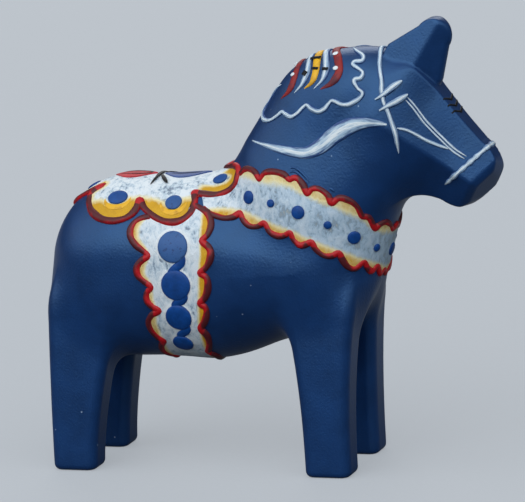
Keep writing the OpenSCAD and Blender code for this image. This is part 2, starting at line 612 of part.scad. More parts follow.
// The girth's front edge starts below the end of the breast band's lower rim, its rear edge below the saddle
edge_gap = 0.35;
function trunk_angle(p) =
    atan2(-p[1] / trunk_half_width, (p[2] - trunk_axis_z) / (belly_r * trunk_round_share));
function girth_place(u) = girth_x + u * girth_half / 5;
rear_start = drop(lookup(girth_rear[0][1], saddle_low)) + (rim_width + edge_gap) * degrees_per_mm;
front_start = max(trunk_angle(on_chest(band_rear, lay(band_lower[len(band_lower) - 1][1]))),
                  drop(lookup(girth_front[0][1], saddle_low))) + (rim_width + edge_gap) * degrees_per_mm;
function girth_edge(angle, side, inset) =
    let (g = min(angle, 360 - angle), u = lookup(g, side < 0 ? girth_rear : girth_front))
    girth_place(u) - side * inset;
function girth_top(x) =
    max(drop(lookup((x - girth_x) * 10 / layout_length, saddle_low)),
        front_start - rim_width * degrees_per_mm) + field_inset * degrees_per_mm;
module girth_field() {
    n = 48;
    c = 5;
    rows = [for (i = [0 : n])
        [for (j = [0 : c])
            let (s = j / c,
                 x_top = mix(girth_edge(58, -1, field_inset), girth_edge(53, 1, field_inset), s),
                 top = girth_top(x_top),
                 angle = mix(top, 360 - top, i / n),
                 x = mix(girth_edge(angle, -1, field_inset), girth_edge(angle, 1, field_inset), s))
            on_trunk(x, angle)]];
    color(white) skin_plate(rows, field_thickness);
}
module girth_rim(places, start) {
    half = [for (q = spline(places, 2)) if (q[0] >= start) on_trunk(girth_place(q[1]), q[0])];
    rest = [for (p = turned(half)) flip_y(p)];
    color(red) skin_bar(concat(half, [for (i = [1 : len(rest) - 1]) rest[i]]), rim_width, rim_height);
}
module girth_rim_rear() {
    girth_rim(girth_rear, rear_start);
}
module girth_rim_front() {
    girth_rim(girth_front, front_start);
}
bead_places = [[-0.3, 70, 1], [0, 101, 0.98], [-0.1, 125.6, 0.86], [-0.6, 146.5, 0.68]];
module girth_beads() {
    for (b = bead_places)
        color(bead_blue)
            skin_dome(on_trunk(girth_x + lay(b[0]), b[1]), bead_r * b[2], dot_height * 1.3, field_thickness);
}
module girth_beads_right() {
    girth_beads();
}
module girth_beads_left() {
    mirror_left() girth_beads();
}
// Short curved links between one bead and the next
link_gap = lay(0.05);
link_width = lay(0.9);
module girth_links() {
    for (i = [0 : len(bead_places) - 2]) {
        a = bead_places[i];
        b = bead_places[i + 1];
        from = a[1] + (bead_r * a[2] + link_gap) * degrees_per_mm * 1.1;
        to = b[1] - (bead_r * b[2] + link_gap) * degrees_per_mm * 1.1;
        path = [for (t = [0 : 0.25 : 1])
            on_trunk(girth_x + lay(mix(a[0] + 0.5, b[0] - 0.5, t)), mix(from, to, t))];
        if (to > from + 0.6)
            color(bead_blue) skin_bar(path, link_width, dot_height, lift = field_thickness);
    }
}
module girth_links_right() {
    girth_links();
}
module girth_links_left() {
    mirror_left() girth_links();
}

// Breast band: from the saddle forward and down round the chest
module band_rim(places) {
    half = [for (q = spline(turned(places), 2)) on_chest(q[0], lay(q[1]))];
    rest = [for (p = turned(half)) flip_y(p)];
    color(red) skin_bar(concat(half, [for (i = [1 : len(rest) - 1]) rest[i]]), rim_width, rim_height);
}
module breast_band_rim_upper() {
    band_rim(band_upper);
}
module breast_band_rim_lower() {
    band_rim(band_lower);
}
// The field ends behind on a slanted line between the two rims
band_end_upper = 126;
band_end_lower = 133;
function band_row(t) =
    let (a = mix(band_end_upper, 0, t),
         b = mix(band_end_lower, 0, t),
         up = [a, lay(lookup(a, band_upper)) - field_inset],
         low = [b, lay(lookup(b, band_lower)) + field_inset])
    [for (j = [0 : 5]) let (q = mix(up, low, j / 5)) on_chest(q[0], q[1])];
module breast_band_field() {
    n = 30;
    half = [for (i = [0 : n]) band_row(i / n)];
    rows = concat(half, [for (i = [n - 1 : -1 : 0]) [for (p = half[i]) flip_y(p)]]);
    color(white) skin_plate(rows, field_thickness);
}
// Small fields behind the band, with a gap under the rim of the saddle's front lobe
front_lobe_angle = drop(26.7);
gusset_angle = front_lobe_angle + (rim_width / 2 + edge_gap) * degrees_per_mm;
gusset_top = on_trunk(girth_x + lay(6), gusset_angle)[2] - chest_z - back_rise;
module breast_band_gussets() {
    rows = [for (i = [0 : 6])
        let (a = mix(144, band_end_lower + 1, i / 6),
             low = [a, lay(lookup(a, band_lower)) + field_inset],
             up = [a + mix(1, 3, i / 6), gusset_top])
        [for (j = [0 : 2]) let (q = mix(up, low, j / 2)) on_chest(q[0], q[1])]];
    color(white) {
        skin_plate(rows, field_thickness);
        mirror_left() skin_plate(rows, field_thickness);
    }
}
// Plain dots along the middle of the band, large and small in turn
band_dot_angles = [117, 91, 66.5, 47.3, 32, 16.8, 0];
module breast_band_dots() {
    for (i = [0 : len(band_dot_angles) - 1]) {
        a = band_dot_angles[i];
        p = on_chest(a, lay((lookup(a, band_upper) + lookup(a, band_lower)) / 2));
        r = band_dot_r * (i % 2 == 0 ? 1 : 0.6);
        color(bead_blue) {
            skin_dome(p, r, dot_height, field_thickness, along = [0, 0, 1]);
            if (a > 0)
                mirror_left() skin_dome(p, r, dot_height, field_thickness, along = [0, 0, 1]);
        }
    }
}

// Crest: a scalloped cord round each side, from the poll over the neck to the withers
crest_places = [[82, 2], [77.5, 8.5], [70.8, 13.6], [70, 17.6], [74.7, 18.7], [75, 21], [69.7, 23.1],
                [65, 24.7], [64.7, 28.1], [68.5, 29.8], [67.9, 32], [62.7, 34.2], [56.8, 35], [55.3, 37.6],
                [57.7, 42.1], [64.8, 47.5], [75.5, 49.3], [88.5, 47.3], [94.4, 49.6], [102.6, 53.4],
                [115.6, 53.7], [124.4, 47.9], [128, 41.6], [134.4, 40.8], [144.3, 40.5], [152.8, 37.4],
                [154.3, 31.2], [154.6, 27.3], [160.2, 25.2], [166, 21.5], [168.2, 16], [166.8, 9.7],
                [163.6, 5], [158.6, 4.6], [153.3, 4.8], [147.3, 6], [142, 9.4]];
module crest_cord() {
    path = [for (q = spline(crest_places, 2)) on_crest(q[0], q[1])];
    color(white) skin_bar(path, cord_width, cord_height, pointed(len(path), 0.02, 0.06));
}
module crest_cord_right() {
    crest_cord();
}
module crest_cord_left() {
    mirror_left() crest_cord();
}
// Petals over the crest, by places from their tip to the middle line
module crest_petal(side, width, tone) {
    other = [for (q = turned(side)) [q[0], -q[1]]];
    whole = concat(side, [for (i = [1 : len(other) - 1]) other[i]]);
    path = [for (q = spline(whole, 3)) on_crest(q[0], q[1])];
    color(tone) skin_bar(path, width, dot_height, pointed(len(path), 0.22, 0.22));
}
module crest_petal_rear_red() {
    crest_petal([[147.5, 19.1], [138, 20.9], [129.8, 17.7], [124.3, 10.3], [120.5, 0]], petal_width, red);
}
module crest_petal_rear_white() {
    crest_petal([[134, 25.7], [123.6, 24.5], [116.3, 19.6], [114, 13], [113, 0]], petal_width * 0.75, white);
}
module crest_petal_yellow() {
    crest_petal([[122.7, 28.2], [112.9, 27], [107.8, 21.5], [106.6, 13.7], [106.8, 0]], petal_width, yellow);
}
module crest_petal_front_white() {
    crest_petal([[112.6, 32.9], [101.6, 29.5], [97.6, 22.7], [98.6, 13.2], [100.4, 0]], petal_width * 0.75,
                white);
}
module crest_petal_front_red() {
    crest_petal([[104.6, 35.8], [91.4, 33.7], [85.1, 27], [88.1, 16.7], [93.6, 0]], petal_width, red);
}

// Bridle: the rein's brush stroke on the neck, and cords on the head
// Places along the rein from the crest centre, and the stroke's width factor at each
rein_places = [[-15.6, -0.7, 0.16], [-11.9, -1.1, 0.28], [-8.2, -1.6, 0.6], [-4.7, -1.8, 0.72],
               [-2, -0.6, 0.93], [0.5, 1.3, 1], [3.1, 2.8, 0.93], [5.6, 3.3, 0.65], [7.9, 3.1, 0.45],
               [9.3, 2.8, 0.2]];
module rein() {
    places = spline(rein_places, 3);
    path = [for (q = places) on_side(crest, q)];
    color(white) skin_bar(path, rein_width, cord_height, [for (q = places) q[2]]);
}
module rein_right() {
    rein();
}
module rein_left() {
    mirror_left() rein();
}
headstall_places = [[-11, 30.5], [-1, 32.8], [13.5, 33.5], [26, 32.8], [36, 31.7], [42.5, 28.8], [47.5, 25],
                    [57.5, 16.5], [62, 6]];
module headstall() {
    n = len(headstall_places);
    other = [for (i = [n - 1 : -1 : 0]) [headstall_places[i][0], -headstall_places[i][1]]];
    path = [for (q = spline(concat(headstall_places, other), 3)) on_crest(q[0], q[1])];
    color(white) skin_bar(path, cord_width * 0.9, cord_height, pointed(len(path), 0.05, 0.05));
}
// A stroke that arches over what it crosses
function arched(n, lift) =
    [for (i = [0 : n - 1]) let (t = i / (n - 1)) lift * min(1, t / 0.15, (1 - t) / 0.15)];
module cord(path, width, first, last, lift = 0) {
    n = len(path);
    color(white) skin_bar(path, width, cord_height, pointed(n, first, last), lift = arched(n, lift));
}
// Two short strokes cross the headstall, placed from the cheek centre
buckle_places = [[[-0.2, 3.5], [2.1, 4.7], [4.1, 6.6]], [[0.7, 1.9], [3.3, 3], [5.4, 4.6]]];
module buckle_strokes() {
    for (places = buckle_places)
        cord([for (q = spline(places, 5)) on_side(cheek, q)], cord_width, 0.3, 0.3, cord_height);
}
module buckle_strokes_right() {
    buckle_strokes();
}
module buckle_strokes_left() {
    mirror_left() buckle_strokes();
}
// Cheek strap and the end of the rein that joins it, placed along the head
strap_places = [[0.11, 5.6], [0.24, 5], [0.38, 4.25], [0.63, 3.3], [0.8, 2.9], [0.94, 2.85]];
rein_end_places = [[0.25, 1.2], [0.38, 1.7], [0.52, 1.8], [0.7, 2.2]];
module cheek_strap() {
    cord([for (q = spline(strap_places, 3)) on_head(q[0], q[1])], cord_width * 0.8, 0.1, 0.1);
    cord([for (q = spline(rein_end_places, 4)) on_head(q[0], q[1])], cord_width * 0.7, 0.2, 0.3);
}
module cheek_strap_right() {
    cheek_strap();
}
module cheek_strap_left() {
    mirror_left() cheek_strap();
}
// Noseband: a cord over the nose, in a plane across the head
noseband_centre = [muzzle_x + lay(1.1), 0, muzzle_z + lay(1)];
noseband_tilt = 40;
module noseband() {
    up = [cos(noseband_tilt), 0, sin(noseband_tilt)];
    path = [for (a = [-140 : 8 : 140]) skin(noseband_centre, up * cos(a) + [0, sin(a), 0])];
    color(white) skin_bar(path, cord_width * 0.9, cord_height, pointed(len(path), 0.12, 0.12));
}
// Forehead mark: three short dark strokes across the middle of the forehead
module forehead_mark() {
    for (s = [0.46, 0.54, 0.62]) {
        path = [for (y = [-1.2 : 0.6 : 1.2]) skin(head_axis(s - 0.02 * abs(y)) + [0, lay(y), 0], brow)];
        color(black) skin_bar(path, lay(0.55), lay(0.2), pointed(5, 0.35, 0.35));
    }
}

module body() {
    color(blue) skin_solid();
}

body();
saddle_field_right();
saddle_field_left();
saddle_rim();
saddle_dots_right();
saddle_dots_left();
saddle_crescents_right();
saddle_crescents_left();
saddle_leaf_red();
saddle_leaf_blue();
saddle_veins();
girth_field();
girth_rim_rear();
girth_rim_front();
girth_beads_right();
girth_beads_left();
girth_links_right();
girth_links_left();
breast_band_field();
breast_band_gussets();
breast_band_rim_upper();
breast_band_rim_lower();
breast_band_dots();
crest_cord_right();
crest_cord_left();
crest_petal_rear_red();
crest_petal_rear_white();
crest_petal_yellow();
crest_petal_front_white();
crest_petal_front_red();
rein_right();
rein_left();
headstall();
buckle_strokes_right();
buckle_strokes_left();
cheek_strap_right();
cheek_strap_left();
noseband();
forehead_mark();
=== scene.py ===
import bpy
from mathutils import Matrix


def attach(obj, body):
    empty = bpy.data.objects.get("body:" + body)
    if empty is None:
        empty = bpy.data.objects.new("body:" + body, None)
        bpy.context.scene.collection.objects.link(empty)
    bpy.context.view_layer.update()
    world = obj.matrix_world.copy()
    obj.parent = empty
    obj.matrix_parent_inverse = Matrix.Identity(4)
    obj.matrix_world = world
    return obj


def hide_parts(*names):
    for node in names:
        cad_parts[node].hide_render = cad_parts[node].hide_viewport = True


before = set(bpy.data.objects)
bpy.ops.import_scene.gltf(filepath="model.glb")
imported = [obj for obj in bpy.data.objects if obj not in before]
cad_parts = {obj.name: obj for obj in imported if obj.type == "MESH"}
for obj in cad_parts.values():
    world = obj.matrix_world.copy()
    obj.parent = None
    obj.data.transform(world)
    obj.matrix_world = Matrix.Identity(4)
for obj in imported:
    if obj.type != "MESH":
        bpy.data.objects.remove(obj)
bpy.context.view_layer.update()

import math

import bpy
import numpy as np
from mathutils import Matrix, Vector
from mathutils.kdtree import KDTree

# The studio: a plain pale table top under an overcast sky that is brighter on the horse's right side, with
# one brighter pane above the camera. The camera looks at that side, a little from in front and above.
MM = 0.001
PER_MM = 1 / MM
scene = bpy.context.scene
scene.view_settings.view_transform = "Standard"

camera_target = np.array([-2.7, 0.0, 37.05])
camera_azimuth, camera_elevation, camera_roll = np.radians([20.0, 12.12, -3.54])
camera_distance = 800.0
camera_lens, sensor_width = 320.4, 36.0
back = np.array([math.sin(camera_azimuth) * math.cos(camera_elevation),
                 -math.cos(camera_azimuth) * math.cos(camera_elevation), math.sin(camera_elevation)])
level = np.array([math.cos(camera_azimuth), math.sin(camera_azimuth), 0.0])
right = level * math.cos(camera_roll) + np.cross(back, level) * math.sin(camera_roll)
above = np.cross(back, right)
camera = bpy.data.objects.new("camera", bpy.data.cameras.new("camera"))
camera.data.lens, camera.data.sensor_width = camera_lens, sensor_width
camera.data.clip_start, camera.data.clip_end = 0.05, 20
eye = (camera_target + back * camera_distance) * MM
camera.matrix_world = Matrix([[right[i], above[i], back[i], eye[i]] for i in range(3)] + [[0, 0, 0, 1]])
scene.collection.objects.link(camera)
scene.camera = camera

window_place, window_size, window_power = Vector((-0.60, 1.65, 1.30)), 1.6, 11.0
horse_middle = Vector((0.0, 0.0, 0.035))
window_lamp = bpy.data.lights.new("far_window", "AREA")
window_lamp.shape, window_lamp.size, window_lamp.energy = "DISK", window_size, window_power
far_window = bpy.data.objects.new("far_window", window_lamp)
far_window.location = window_place
far_window.rotation_euler = (horse_middle - window_place).to_track_quat("-Z", "Y").to_euler()
scene.collection.objects.link(far_window)


def feed(tree, node, inputs):
    """Sets inputs of a node, each to a value or to the output of another node."""
    for name, value in inputs.items():
        if isinstance(value, bpy.types.NodeSocket):
            tree.links.new(value, node.inputs[name])
        else:
            node.inputs[name].default_value = value


def add(tree, kind, inputs=None, **settings):
    node = tree.nodes.new(kind)
    for name, value in settings.items():
        setattr(node, name, value)
    feed(tree, node, inputs or {})
    return node


world = bpy.data.worlds.new("overcast_sky")
world.use_nodes = True
sky = world.node_tree
look = add(sky, "ShaderNodeTexCoord").outputs["Generated"]
height = add(sky, "ShaderNodeSeparateXYZ", {"Vector": look})
above_ground = add(sky, "ShaderNodeMapRange",
                   {"Value": height.outputs["Z"], "From Min": 0.03, "From Max": 0.30},
                   interpolation_type="SMOOTHSTEP")
toward_right = add(sky, "ShaderNodeVectorMath", {0: look, 1: (0.0, -0.99, 0.12)}, operation="DOT_PRODUCT")
bright_side = add(sky, "ShaderNodeMapRange",
                  {"Value": toward_right.outputs["Value"], "From Min": -0.42, "From Max": 0.55,
                   "To Min": 0.10, "To Max": 1.44}, interpolation_type="SMOOTHSTEP")
toward_pane = add(sky, "ShaderNodeVectorMath", {0: look, 1: (-0.05, -0.88, 0.47)},
                  operation="DOT_PRODUCT")
pane = add(sky, "ShaderNodeMapRange",
           {"Value": toward_pane.outputs["Value"], "From Min": 0.76, "From Max": 0.97,
            "To Min": 1.0, "To Max": 1.65}, interpolation_type="SMOOTHSTEP")
glow = add(sky, "ShaderNodeMath", {0: above_ground.outputs["Result"], 1: bright_side.outputs["Result"]},
           operation="MULTIPLY")
glow = add(sky, "ShaderNodeMath", {0: glow.outputs["Value"], 1: pane.outputs["Result"]},
           operation="MULTIPLY")
cool_daylight = (0.96, 0.99, 1.02, 1)
feed(sky, sky.nodes["Background"], {"Color": cool_daylight, "Strength": glow.outputs["Value"]})
scene.world = world


def linear(hex_colour):
    parts = [int(hex_colour[i : i + 2], 16) / 255 for i in (1, 3, 5)]
    return [c / 12.92 if c <= 0.04045 else ((c + 0.055) / 1.055) ** 2.4 for c in parts] + [1.0]


def new_material(name):
    material = bpy.data.materials.new(name)
    material.use_nodes = True
    tree = material.node_tree
    return material, tree, tree.nodes["Principled BSDF"]


# Table top: pale grey coated board, matt, with a faint pebbled grain of about 1 mm. The camera sees it pale,
# and the paint mirrors its pale part behind the horse, while it throws little light back, so that the
# horse's underside stays dark. A Mix node's two colours and its outcome are told apart by socket number.
COLOUR_A, COLOUR_B, COLOUR_OUT = 6, 7, 2
board, tree, shader = new_material("pale_coated_board")
place = add(tree, "ShaderNodeTexCoord").outputs["Object"]
ray = add(tree, "ShaderNodeLightPath").outputs
along = add(tree, "ShaderNodeSeparateXYZ", {"Vector": place})
behind = add(tree, "ShaderNodeMapRange", {"Value": along.outputs["Y"], "From Min": -0.02, "From Max": 0.10,
                                          "To Min": 0.03, "To Max": 0.3})
mirrored = add(tree, "ShaderNodeMath", {0: ray["Is Glossy Ray"], 1: behind.outputs["Result"],
                                        2: ray["Is Transmission Ray"]}, operation="MULTIPLY_ADD")
seen = add(tree, "ShaderNodeMath", {0: ray["Is Camera Ray"], 1: mirrored.outputs["Value"]}, operation="ADD",
           use_clamp=True).outputs["Value"]
tone = add(tree, "ShaderNodeMix", {0: seen, COLOUR_A: linear("#30343a"), COLOUR_B: linear("#c0c6cc")},
           data_type="RGBA")
grain = add(tree, "ShaderNodeTexNoise", {"Vector": place, "Scale": 0.9 * PER_MM, "Detail": 3.0})
bump = add(tree, "ShaderNodeBump", {"Height": grain.outputs["Fac"], "Strength": 0.25, "Distance": 0.2 * MM})
feed(tree, shader, {"Base Color": tone.outputs[COLOUR_OUT], "Roughness": 0.75, "Specular IOR Level": 0.2,
                    "Normal": bump.outputs["Normal"]})
even = add(tree, "ShaderNodeEmission", {"Color": linear("#b9bfc6")})
even_share = add(tree, "ShaderNodeMath", {0: seen, 1: 0.65}, operation="MULTIPLY")
evened = add(tree, "ShaderNodeMixShader", {0: even_share.outputs["Value"], 1: shader.outputs["BSDF"],
                                           2: even.outputs["Emission"]})
feed(tree, tree.nodes["Material Output"], {"Surface": evened.outputs["Shader"]})
floor_mesh = bpy.data.meshes.new("table_top")
floor_half = 4.0
floor_mesh.from_pydata([(-floor_half, -floor_half, 0), (floor_half, -floor_half, 0),
                        (floor_half, floor_half, 0), (-floor_half, floor_half, 0)], [], [(0, 1, 2, 3)])
floor_mesh.materials.append(board)
floor = bpy.data.objects.new("table_top", floor_mesh)
scene.collection.objects.link(floor)


# Body: the horse itself, one solid casting of resin after a knife-carved pattern, with trunk, neck,
# head, ears and four legs in one. It is dipped in a satin blue paint before the ornament is painted.
# Its bars run between places given as x, z and radius, in mm, and those of the head by a half width too.
HAUNCH, BELLY, CHEST = (-24.6, 34.5, 15.9), (-10.7, 34.5, 15.5), (6.8, 35.7, 12.1)
NECK, CREST = (8.3, 49.0, 14.6), (13.9, 57.9, 14.2)
CHEEK, MUZZLE = (21.7, 61.2, 9.8, 6.2), (34.2, 51.7, 6.4, 4.4)
EAR, EAR_TIP = (27.0, 70.1, 5.4, 4.0), (30.4, 74.55, 3.0, 2.8)
TRUNK_HALF_WIDTH, CREST_HALF_WIDTH, FLANK_ROUND = 12.0, 7.4, 13.5
# Each pair of legs: the foot's x and half length, the same at the top, and how late it flares.
HIND_LEGS, FRONT_LEGS = ((-35.9, 4.0), (-32.2, 7.3), 1.55), ((10.3, 4.1), (9.8, 7.2), 2.4)
LEG_TOP = 33.0
SKIN_CELL = 0.375


def direction(v):
    return v / np.linalg.norm(v, axis=-1, keepdims=True)


def mix(a, b, t):
    return a + (b - a) * t


def ease(t):
    t = np.clip(t, 0, 1)
    return t * t * (3 - 2 * t)


def soft_min(a, b, k):
    h = np.maximum(k - np.abs(a - b), 0) / k
    return np.minimum(a, b) - h * h * k / 4


def soft_max(a, b, k):
    return -soft_min(-a, -b, k)


def bevelled(a, b, bevel, edge):
    """Two faces that meet in a knife's bevel."""
    return soft_max(soft_max(a, b, edge), (a + b) * math.sqrt(0.5) + bevel, edge)


def side_bar(x, z, a, b):
    dx, dz = b[0] - a[0], b[1] - a[1]
    t = np.clip(((x - a[0]) * dx + (z - a[1]) * dz) / (dx * dx + dz * dz), 0, 1)
    return np.hypot(x - a[0] - dx * t, z - a[1] - dz * t) - mix(a[2], b[2], t)


def leg(x, y, z, foot, top, flare):
    edge, hip_round, sole_round = 1.8, 6.0, 1.2
    f = np.clip(z / LEG_TOP, 0, 1) ** flare
    inner, outer = mix(4.6, 1.9, f), mix(11.2, 9.5, f)
    qx = np.abs(x - mix(foot[0], top[0], f)) - mix(foot[1], top[1], f) + edge
    qy = np.abs(np.abs(y) - (inner + outer) / 2) - (outer - inner) / 2 + edge
    wall = np.hypot(np.maximum(qx, 0), np.maximum(qy, 0)) + np.minimum(np.maximum(qx, qy), 0) - edge
    return soft_max(soft_max(wall, z - LEG_TOP, hip_round), -z, sole_round)


def ears(x, y, z):
    """One block for both ears, with knife-cut facets in front and behind."""
    dx, dz = EAR_TIP[0] - EAR[0], EAR_TIP[1] - EAR[1]
    t = ((x - EAR[0]) * dx + (z - EAR[1]) * dz) / (dx * dx + dz * dz)
    side = np.abs(y) - mix(EAR[3], EAR_TIP[3], np.clip(t, -0.5, 1.6))
    block = bevelled(side_bar(x, z, EAR, EAR_TIP), side, 0.35, 0.3)
    facet = (x - EAR_TIP[0]) * 0.48 + np.abs(y) * 0.873 - (z - EAR_TIP[1]) * 0.089 - 1.84
    hind = ((EAR_TIP[0] - x) * 0.05 + np.abs(y) + (z - EAR_TIP[1]) * 0.261) / 1.035 - 2.23
    return soft_max(soft_max(block, facet, 0.9), hind, 0.25)


def head(x, y, z):
    """A flat brow, sides that bend at mid height, and a flat muzzle end, turned a little to the right."""
    dx, dz = MUZZLE[0] - CHEEK[0], MUZZLE[1] - CHEEK[1]
    length = math.hypot(dx, dz)
    t = ((x - CHEEK[0]) * dx + (z - CHEEK[1]) * dz) / length**2
    v = ((z - CHEEK[1]) * dx - (x - CHEEK[0]) * dz) / length
    edge = mix(6.0, 0.35, ease((t + 0.35) / 0.34))
    poll = ease((0.35 - t) / 0.4) * ease((t + 0.3) / 0.25)
    side = np.abs(y) - mix(CHEEK[3], MUZZLE[3], np.clip(t, -0.5, 1.6)) - 0.4 * poll
    brow_slope, jaw_slope = 0.38 - 0.07 * poll, 0.45
    upper = (side + v * brow_slope) / np.hypot(1, brow_slope)
    lower = (side - v * jaw_slope) / math.hypot(1, jaw_slope)
    block = soft_max(soft_max(upper, lower, edge), side_bar(x, z, CHEEK, MUZZLE), edge)
    end_facing, end_reach = (0.722, -0.29, -0.628), 4.58
    end = ((x - MUZZLE[0]) * end_facing[0] + y * end_facing[1] + (z - MUZZLE[1]) * end_facing[2]) - end_reach
    return bevelled(block, end, 0.5, 0.25)


def horse(p):
    """Distance of points from the skin, in mm, below 0 inside."""
    x, y, z = p[..., 0], p[..., 1], p[..., 2]
    spine = soft_min(side_bar(x, z, HAUNCH, BELLY), side_bar(x, z, BELLY, CHEST), 2.0)
    outline = soft_min(spine, side_bar(x, z, NECK, CREST), 7.0)
    width = mix(TRUNK_HALF_WIDTH, CREST_HALF_WIDTH, ease((z - 38.0) / 30.0))
    depth = soft_max(outline + FLANK_ROUND, 0 * outline, 6.0)
    skin = (np.hypot(depth, y * FLANK_ROUND / width) - FLANK_ROUND) * np.minimum(1, width / FLANK_ROUND)
    skin = soft_min(soft_min(skin, head(x, y, z), 5.0), ears(x, y, z), 0.3)
    for pair in (HIND_LEGS, FRONT_LEGS):
        skin = soft_min(skin, leg(x, y, z, *pair), 4.0)
    return skin


def slope_of_skin(p):
    step = 0.02
    change = [horse(p + step * axis) - horse(p - step * axis) for axis in np.eye(3)]
    return np.stack(change, -1) / (2 * step)


def outward(p):
    return direction(slope_of_skin(p))


def settle(p):
    """Moves points that are near the skin onto it."""
    for _ in range(3):
        slope = slope_of_skin(p)
        p = p - slope * (horse(p) / np.maximum((slope * slope).sum(-1), 0.05))[..., None]
    return p


def cast_skin(cell):
    """Points and quads of the skin: one point in every grid cell that it passes."""
    rear, front, half_breadth, top = -44.0, 43.0, 14.5, 80.5
    xs = np.arange(rear, front, cell)
    ys = (np.arange(-int(half_breadth / cell), int(half_breadth / cell) + 1) + 0.5) * cell
    zs = np.arange(-2.5 * cell, top, cell)
    size = (len(xs), len(ys), len(zs))
    value = np.empty(size)
    for i, x in enumerate(xs):
        gy, gz = np.meshgrid(ys, zs, indexing="ij")
        value[i] = horse(np.stack([np.full_like(gy, x), gy, gz], -1))
    inside = value < 0
    corners = [(i, j, k) for i in (0, 1) for j in (0, 1) for k in (0, 1)]
    part = [slice(None, -1), slice(1, None)]
    count = sum(inside[part[i], part[j], part[k]].astype(int) for i, j, k in corners)
    cells = np.argwhere((count > 0) & (count < len(corners)))
    number = np.full([n - 1 for n in size], -1)
    number[tuple(cells.T)] = np.arange(len(cells))
    total, hits = np.zeros((len(cells), 3)), np.zeros(len(cells))
    for a in corners:
        for axis in range(3):
            if a[axis] == 0:
                b = tuple(1 if n == axis else a[n] for n in range(3))
                va, vb = value[tuple((cells + a).T)], value[tuple((cells + b).T)]
                crossed = (va < 0) != (vb < 0)
                share = np.where(crossed, va / np.where(crossed, va - vb, 1), 0)
                total += np.where(crossed[:, None], np.array(a) + share[:, None] * (np.array(b) - a), 0)
                hits += crossed
    low = np.array([xs[0], ys[0], zs[0]])
    points = settle(low + (cells + total / hits[:, None]) * cell)
    quads = []
    for axis in range(3):
        u, v = (axis + 1) % 3, (axis + 2) % 3
        ahead = [slice(None)] * 3
        behind = [slice(None)] * 3
        ahead[axis], behind[axis] = slice(1, None), slice(None, -1)
        edge = np.argwhere(inside[tuple(behind)] != inside[tuple(ahead)])
        edge = edge[(edge[:, u] > 0) & (edge[:, v] > 0)]
        du, dv = np.eye(3, dtype=int)[u], np.eye(3, dtype=int)[v]
        quad = np.stack([number[tuple((edge + move).T)] for move in (-du - dv, -dv, 0 * du, -du)], 1)
        turned = ~inside[tuple(edge.T)]
        quad[turned] = quad[turned][:, ::-1]
        quads.append(quad)
    return points, np.concatenate(quads)


def shape(name, points, faces, material, edges=()):
    mesh = bpy.data.meshes.new(name)
    mesh.from_pydata((np.asarray(points) * MM).tolist(), list(edges), [list(map(int, f)) for f in faces])
    mesh.materials.append(material)
    mesh.shade_smooth()
    piece = bpy.data.objects.new(name, mesh)
    scene.collection.objects.link(piece)
    return piece


def take_place(piece, slot, *nodes):
    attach(piece, "root")
    if nodes:
        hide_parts(*nodes)


# Satin blue paint on cast resin: soft, broad, bluish highlights over a slightly sandy coat, with cloudy
# shades of about 6 mm from the brush, and a few grains of pale dust, about 0.2 mm, caught in the paint.
blue_paint, tree, shader = new_material("satin_blue_paint_on_resin")
place = add(tree, "ShaderNodeTexCoord").outputs["Object"]
cloud = add(tree, "ShaderNodeTexNoise", {"Vector": place, "Scale": 0.16 * PER_MM, "Detail": 4.0,
                                         "Roughness": 0.6}).outputs["Fac"]
shade = add(tree, "ShaderNodeValToRGB", {"Fac": cloud})
for stop, at, colour in zip(shade.color_ramp.elements, (0.3, 0.72), ("#0f2a55", "#143669")):
    stop.position, stop.color = at, linear(colour)
dust = add(tree, "ShaderNodeTexVoronoi", {"Vector": place, "Scale": 0.42 * PER_MM})
dust_size = add(tree, "ShaderNodeMapRange", {"Value": dust.outputs["Distance"], "From Min": 0.03,
                                             "From Max": 0.07, "To Min": 1.0, "To Max": 0.0})
dust_pick = add(tree, "ShaderNodeSeparateColor", {"Color": dust.outputs["Color"]})
dust_rare = add(tree, "ShaderNodeMath", {0: dust_pick.outputs["Red"], 1: 0.62}, operation="GREATER_THAN")
dust_here = add(tree, "ShaderNodeMath", {0: dust_size.outputs["Result"], 1: dust_rare.outputs["Value"]},
                operation="MULTIPLY")
dusted = add(tree, "ShaderNodeMix", {0: dust_here.outputs["Value"], COLOUR_A: shade.outputs["Color"],
                                     COLOUR_B: linear("#8fa3bd")}, data_type="RGBA")
gloss = add(tree, "ShaderNodeMapRange", {"Value": cloud, "To Min": 0.28, "To Max": 0.40})
sand = add(tree, "ShaderNodeTexNoise", {"Vector": place, "Scale": 2.6 * PER_MM, "Detail": 2.0})
bump = add(tree, "ShaderNodeBump", {"Height": sand.outputs["Fac"], "Strength": 0.36, "Distance": 0.12 * MM})
feed(tree, shader, {"Base Color": dusted.outputs[COLOUR_OUT], "Roughness": gloss.outputs["Result"],
                    "Specular IOR Level": 1.0, "Specular Tint": linear("#8ec7ff"),
                    "Normal": bump.outputs["Normal"]})

body = shape("painted_body", *cast_skin(SKIN_CELL), blue_paint)
body_points = np.array([v.co for v in body.data.vertices]) / MM
body.data.normals_split_custom_set_from_vertices(outward(body_points))
take_place(body, "blue_paint", "body")


# Saddle: a cloth over the back with lobes all round, one of them on the spine, in low relief of the casting.
# It is painted last, in hobby acrylics: white brushed on dry, a piped red rim, blue dots, yellow crescents
# and two leaves. Its places are mm from the middle of the girth, and degrees from the spine.
GIRTH_X, TRUNK_AXIS_Z, DEGREES_PER_MM = -14.3, 36.0, 4.17
COAT = 0.2
SIDES = (("right", 1), ("left", -1))


def skin(start, toward):
    """The places where lines that start inside the body come out of it."""
    far = np.zeros(start.shape[:-1])
    for _ in range(30):
        far = far - horse(start + toward * far[..., None])
    return start + toward * far[..., None]


def on_trunk(x, angle):
    a = np.radians(angle)
    start = np.stack([x, 0 * x, 0 * x + TRUNK_AXIS_Z], -1)
    return skin(start, np.stack([0 * a, -np.sin(a), np.cos(a)], -1))


def on_saddle(q):
    return on_trunk(GIRTH_X + q[:, 0], q[:, 1])


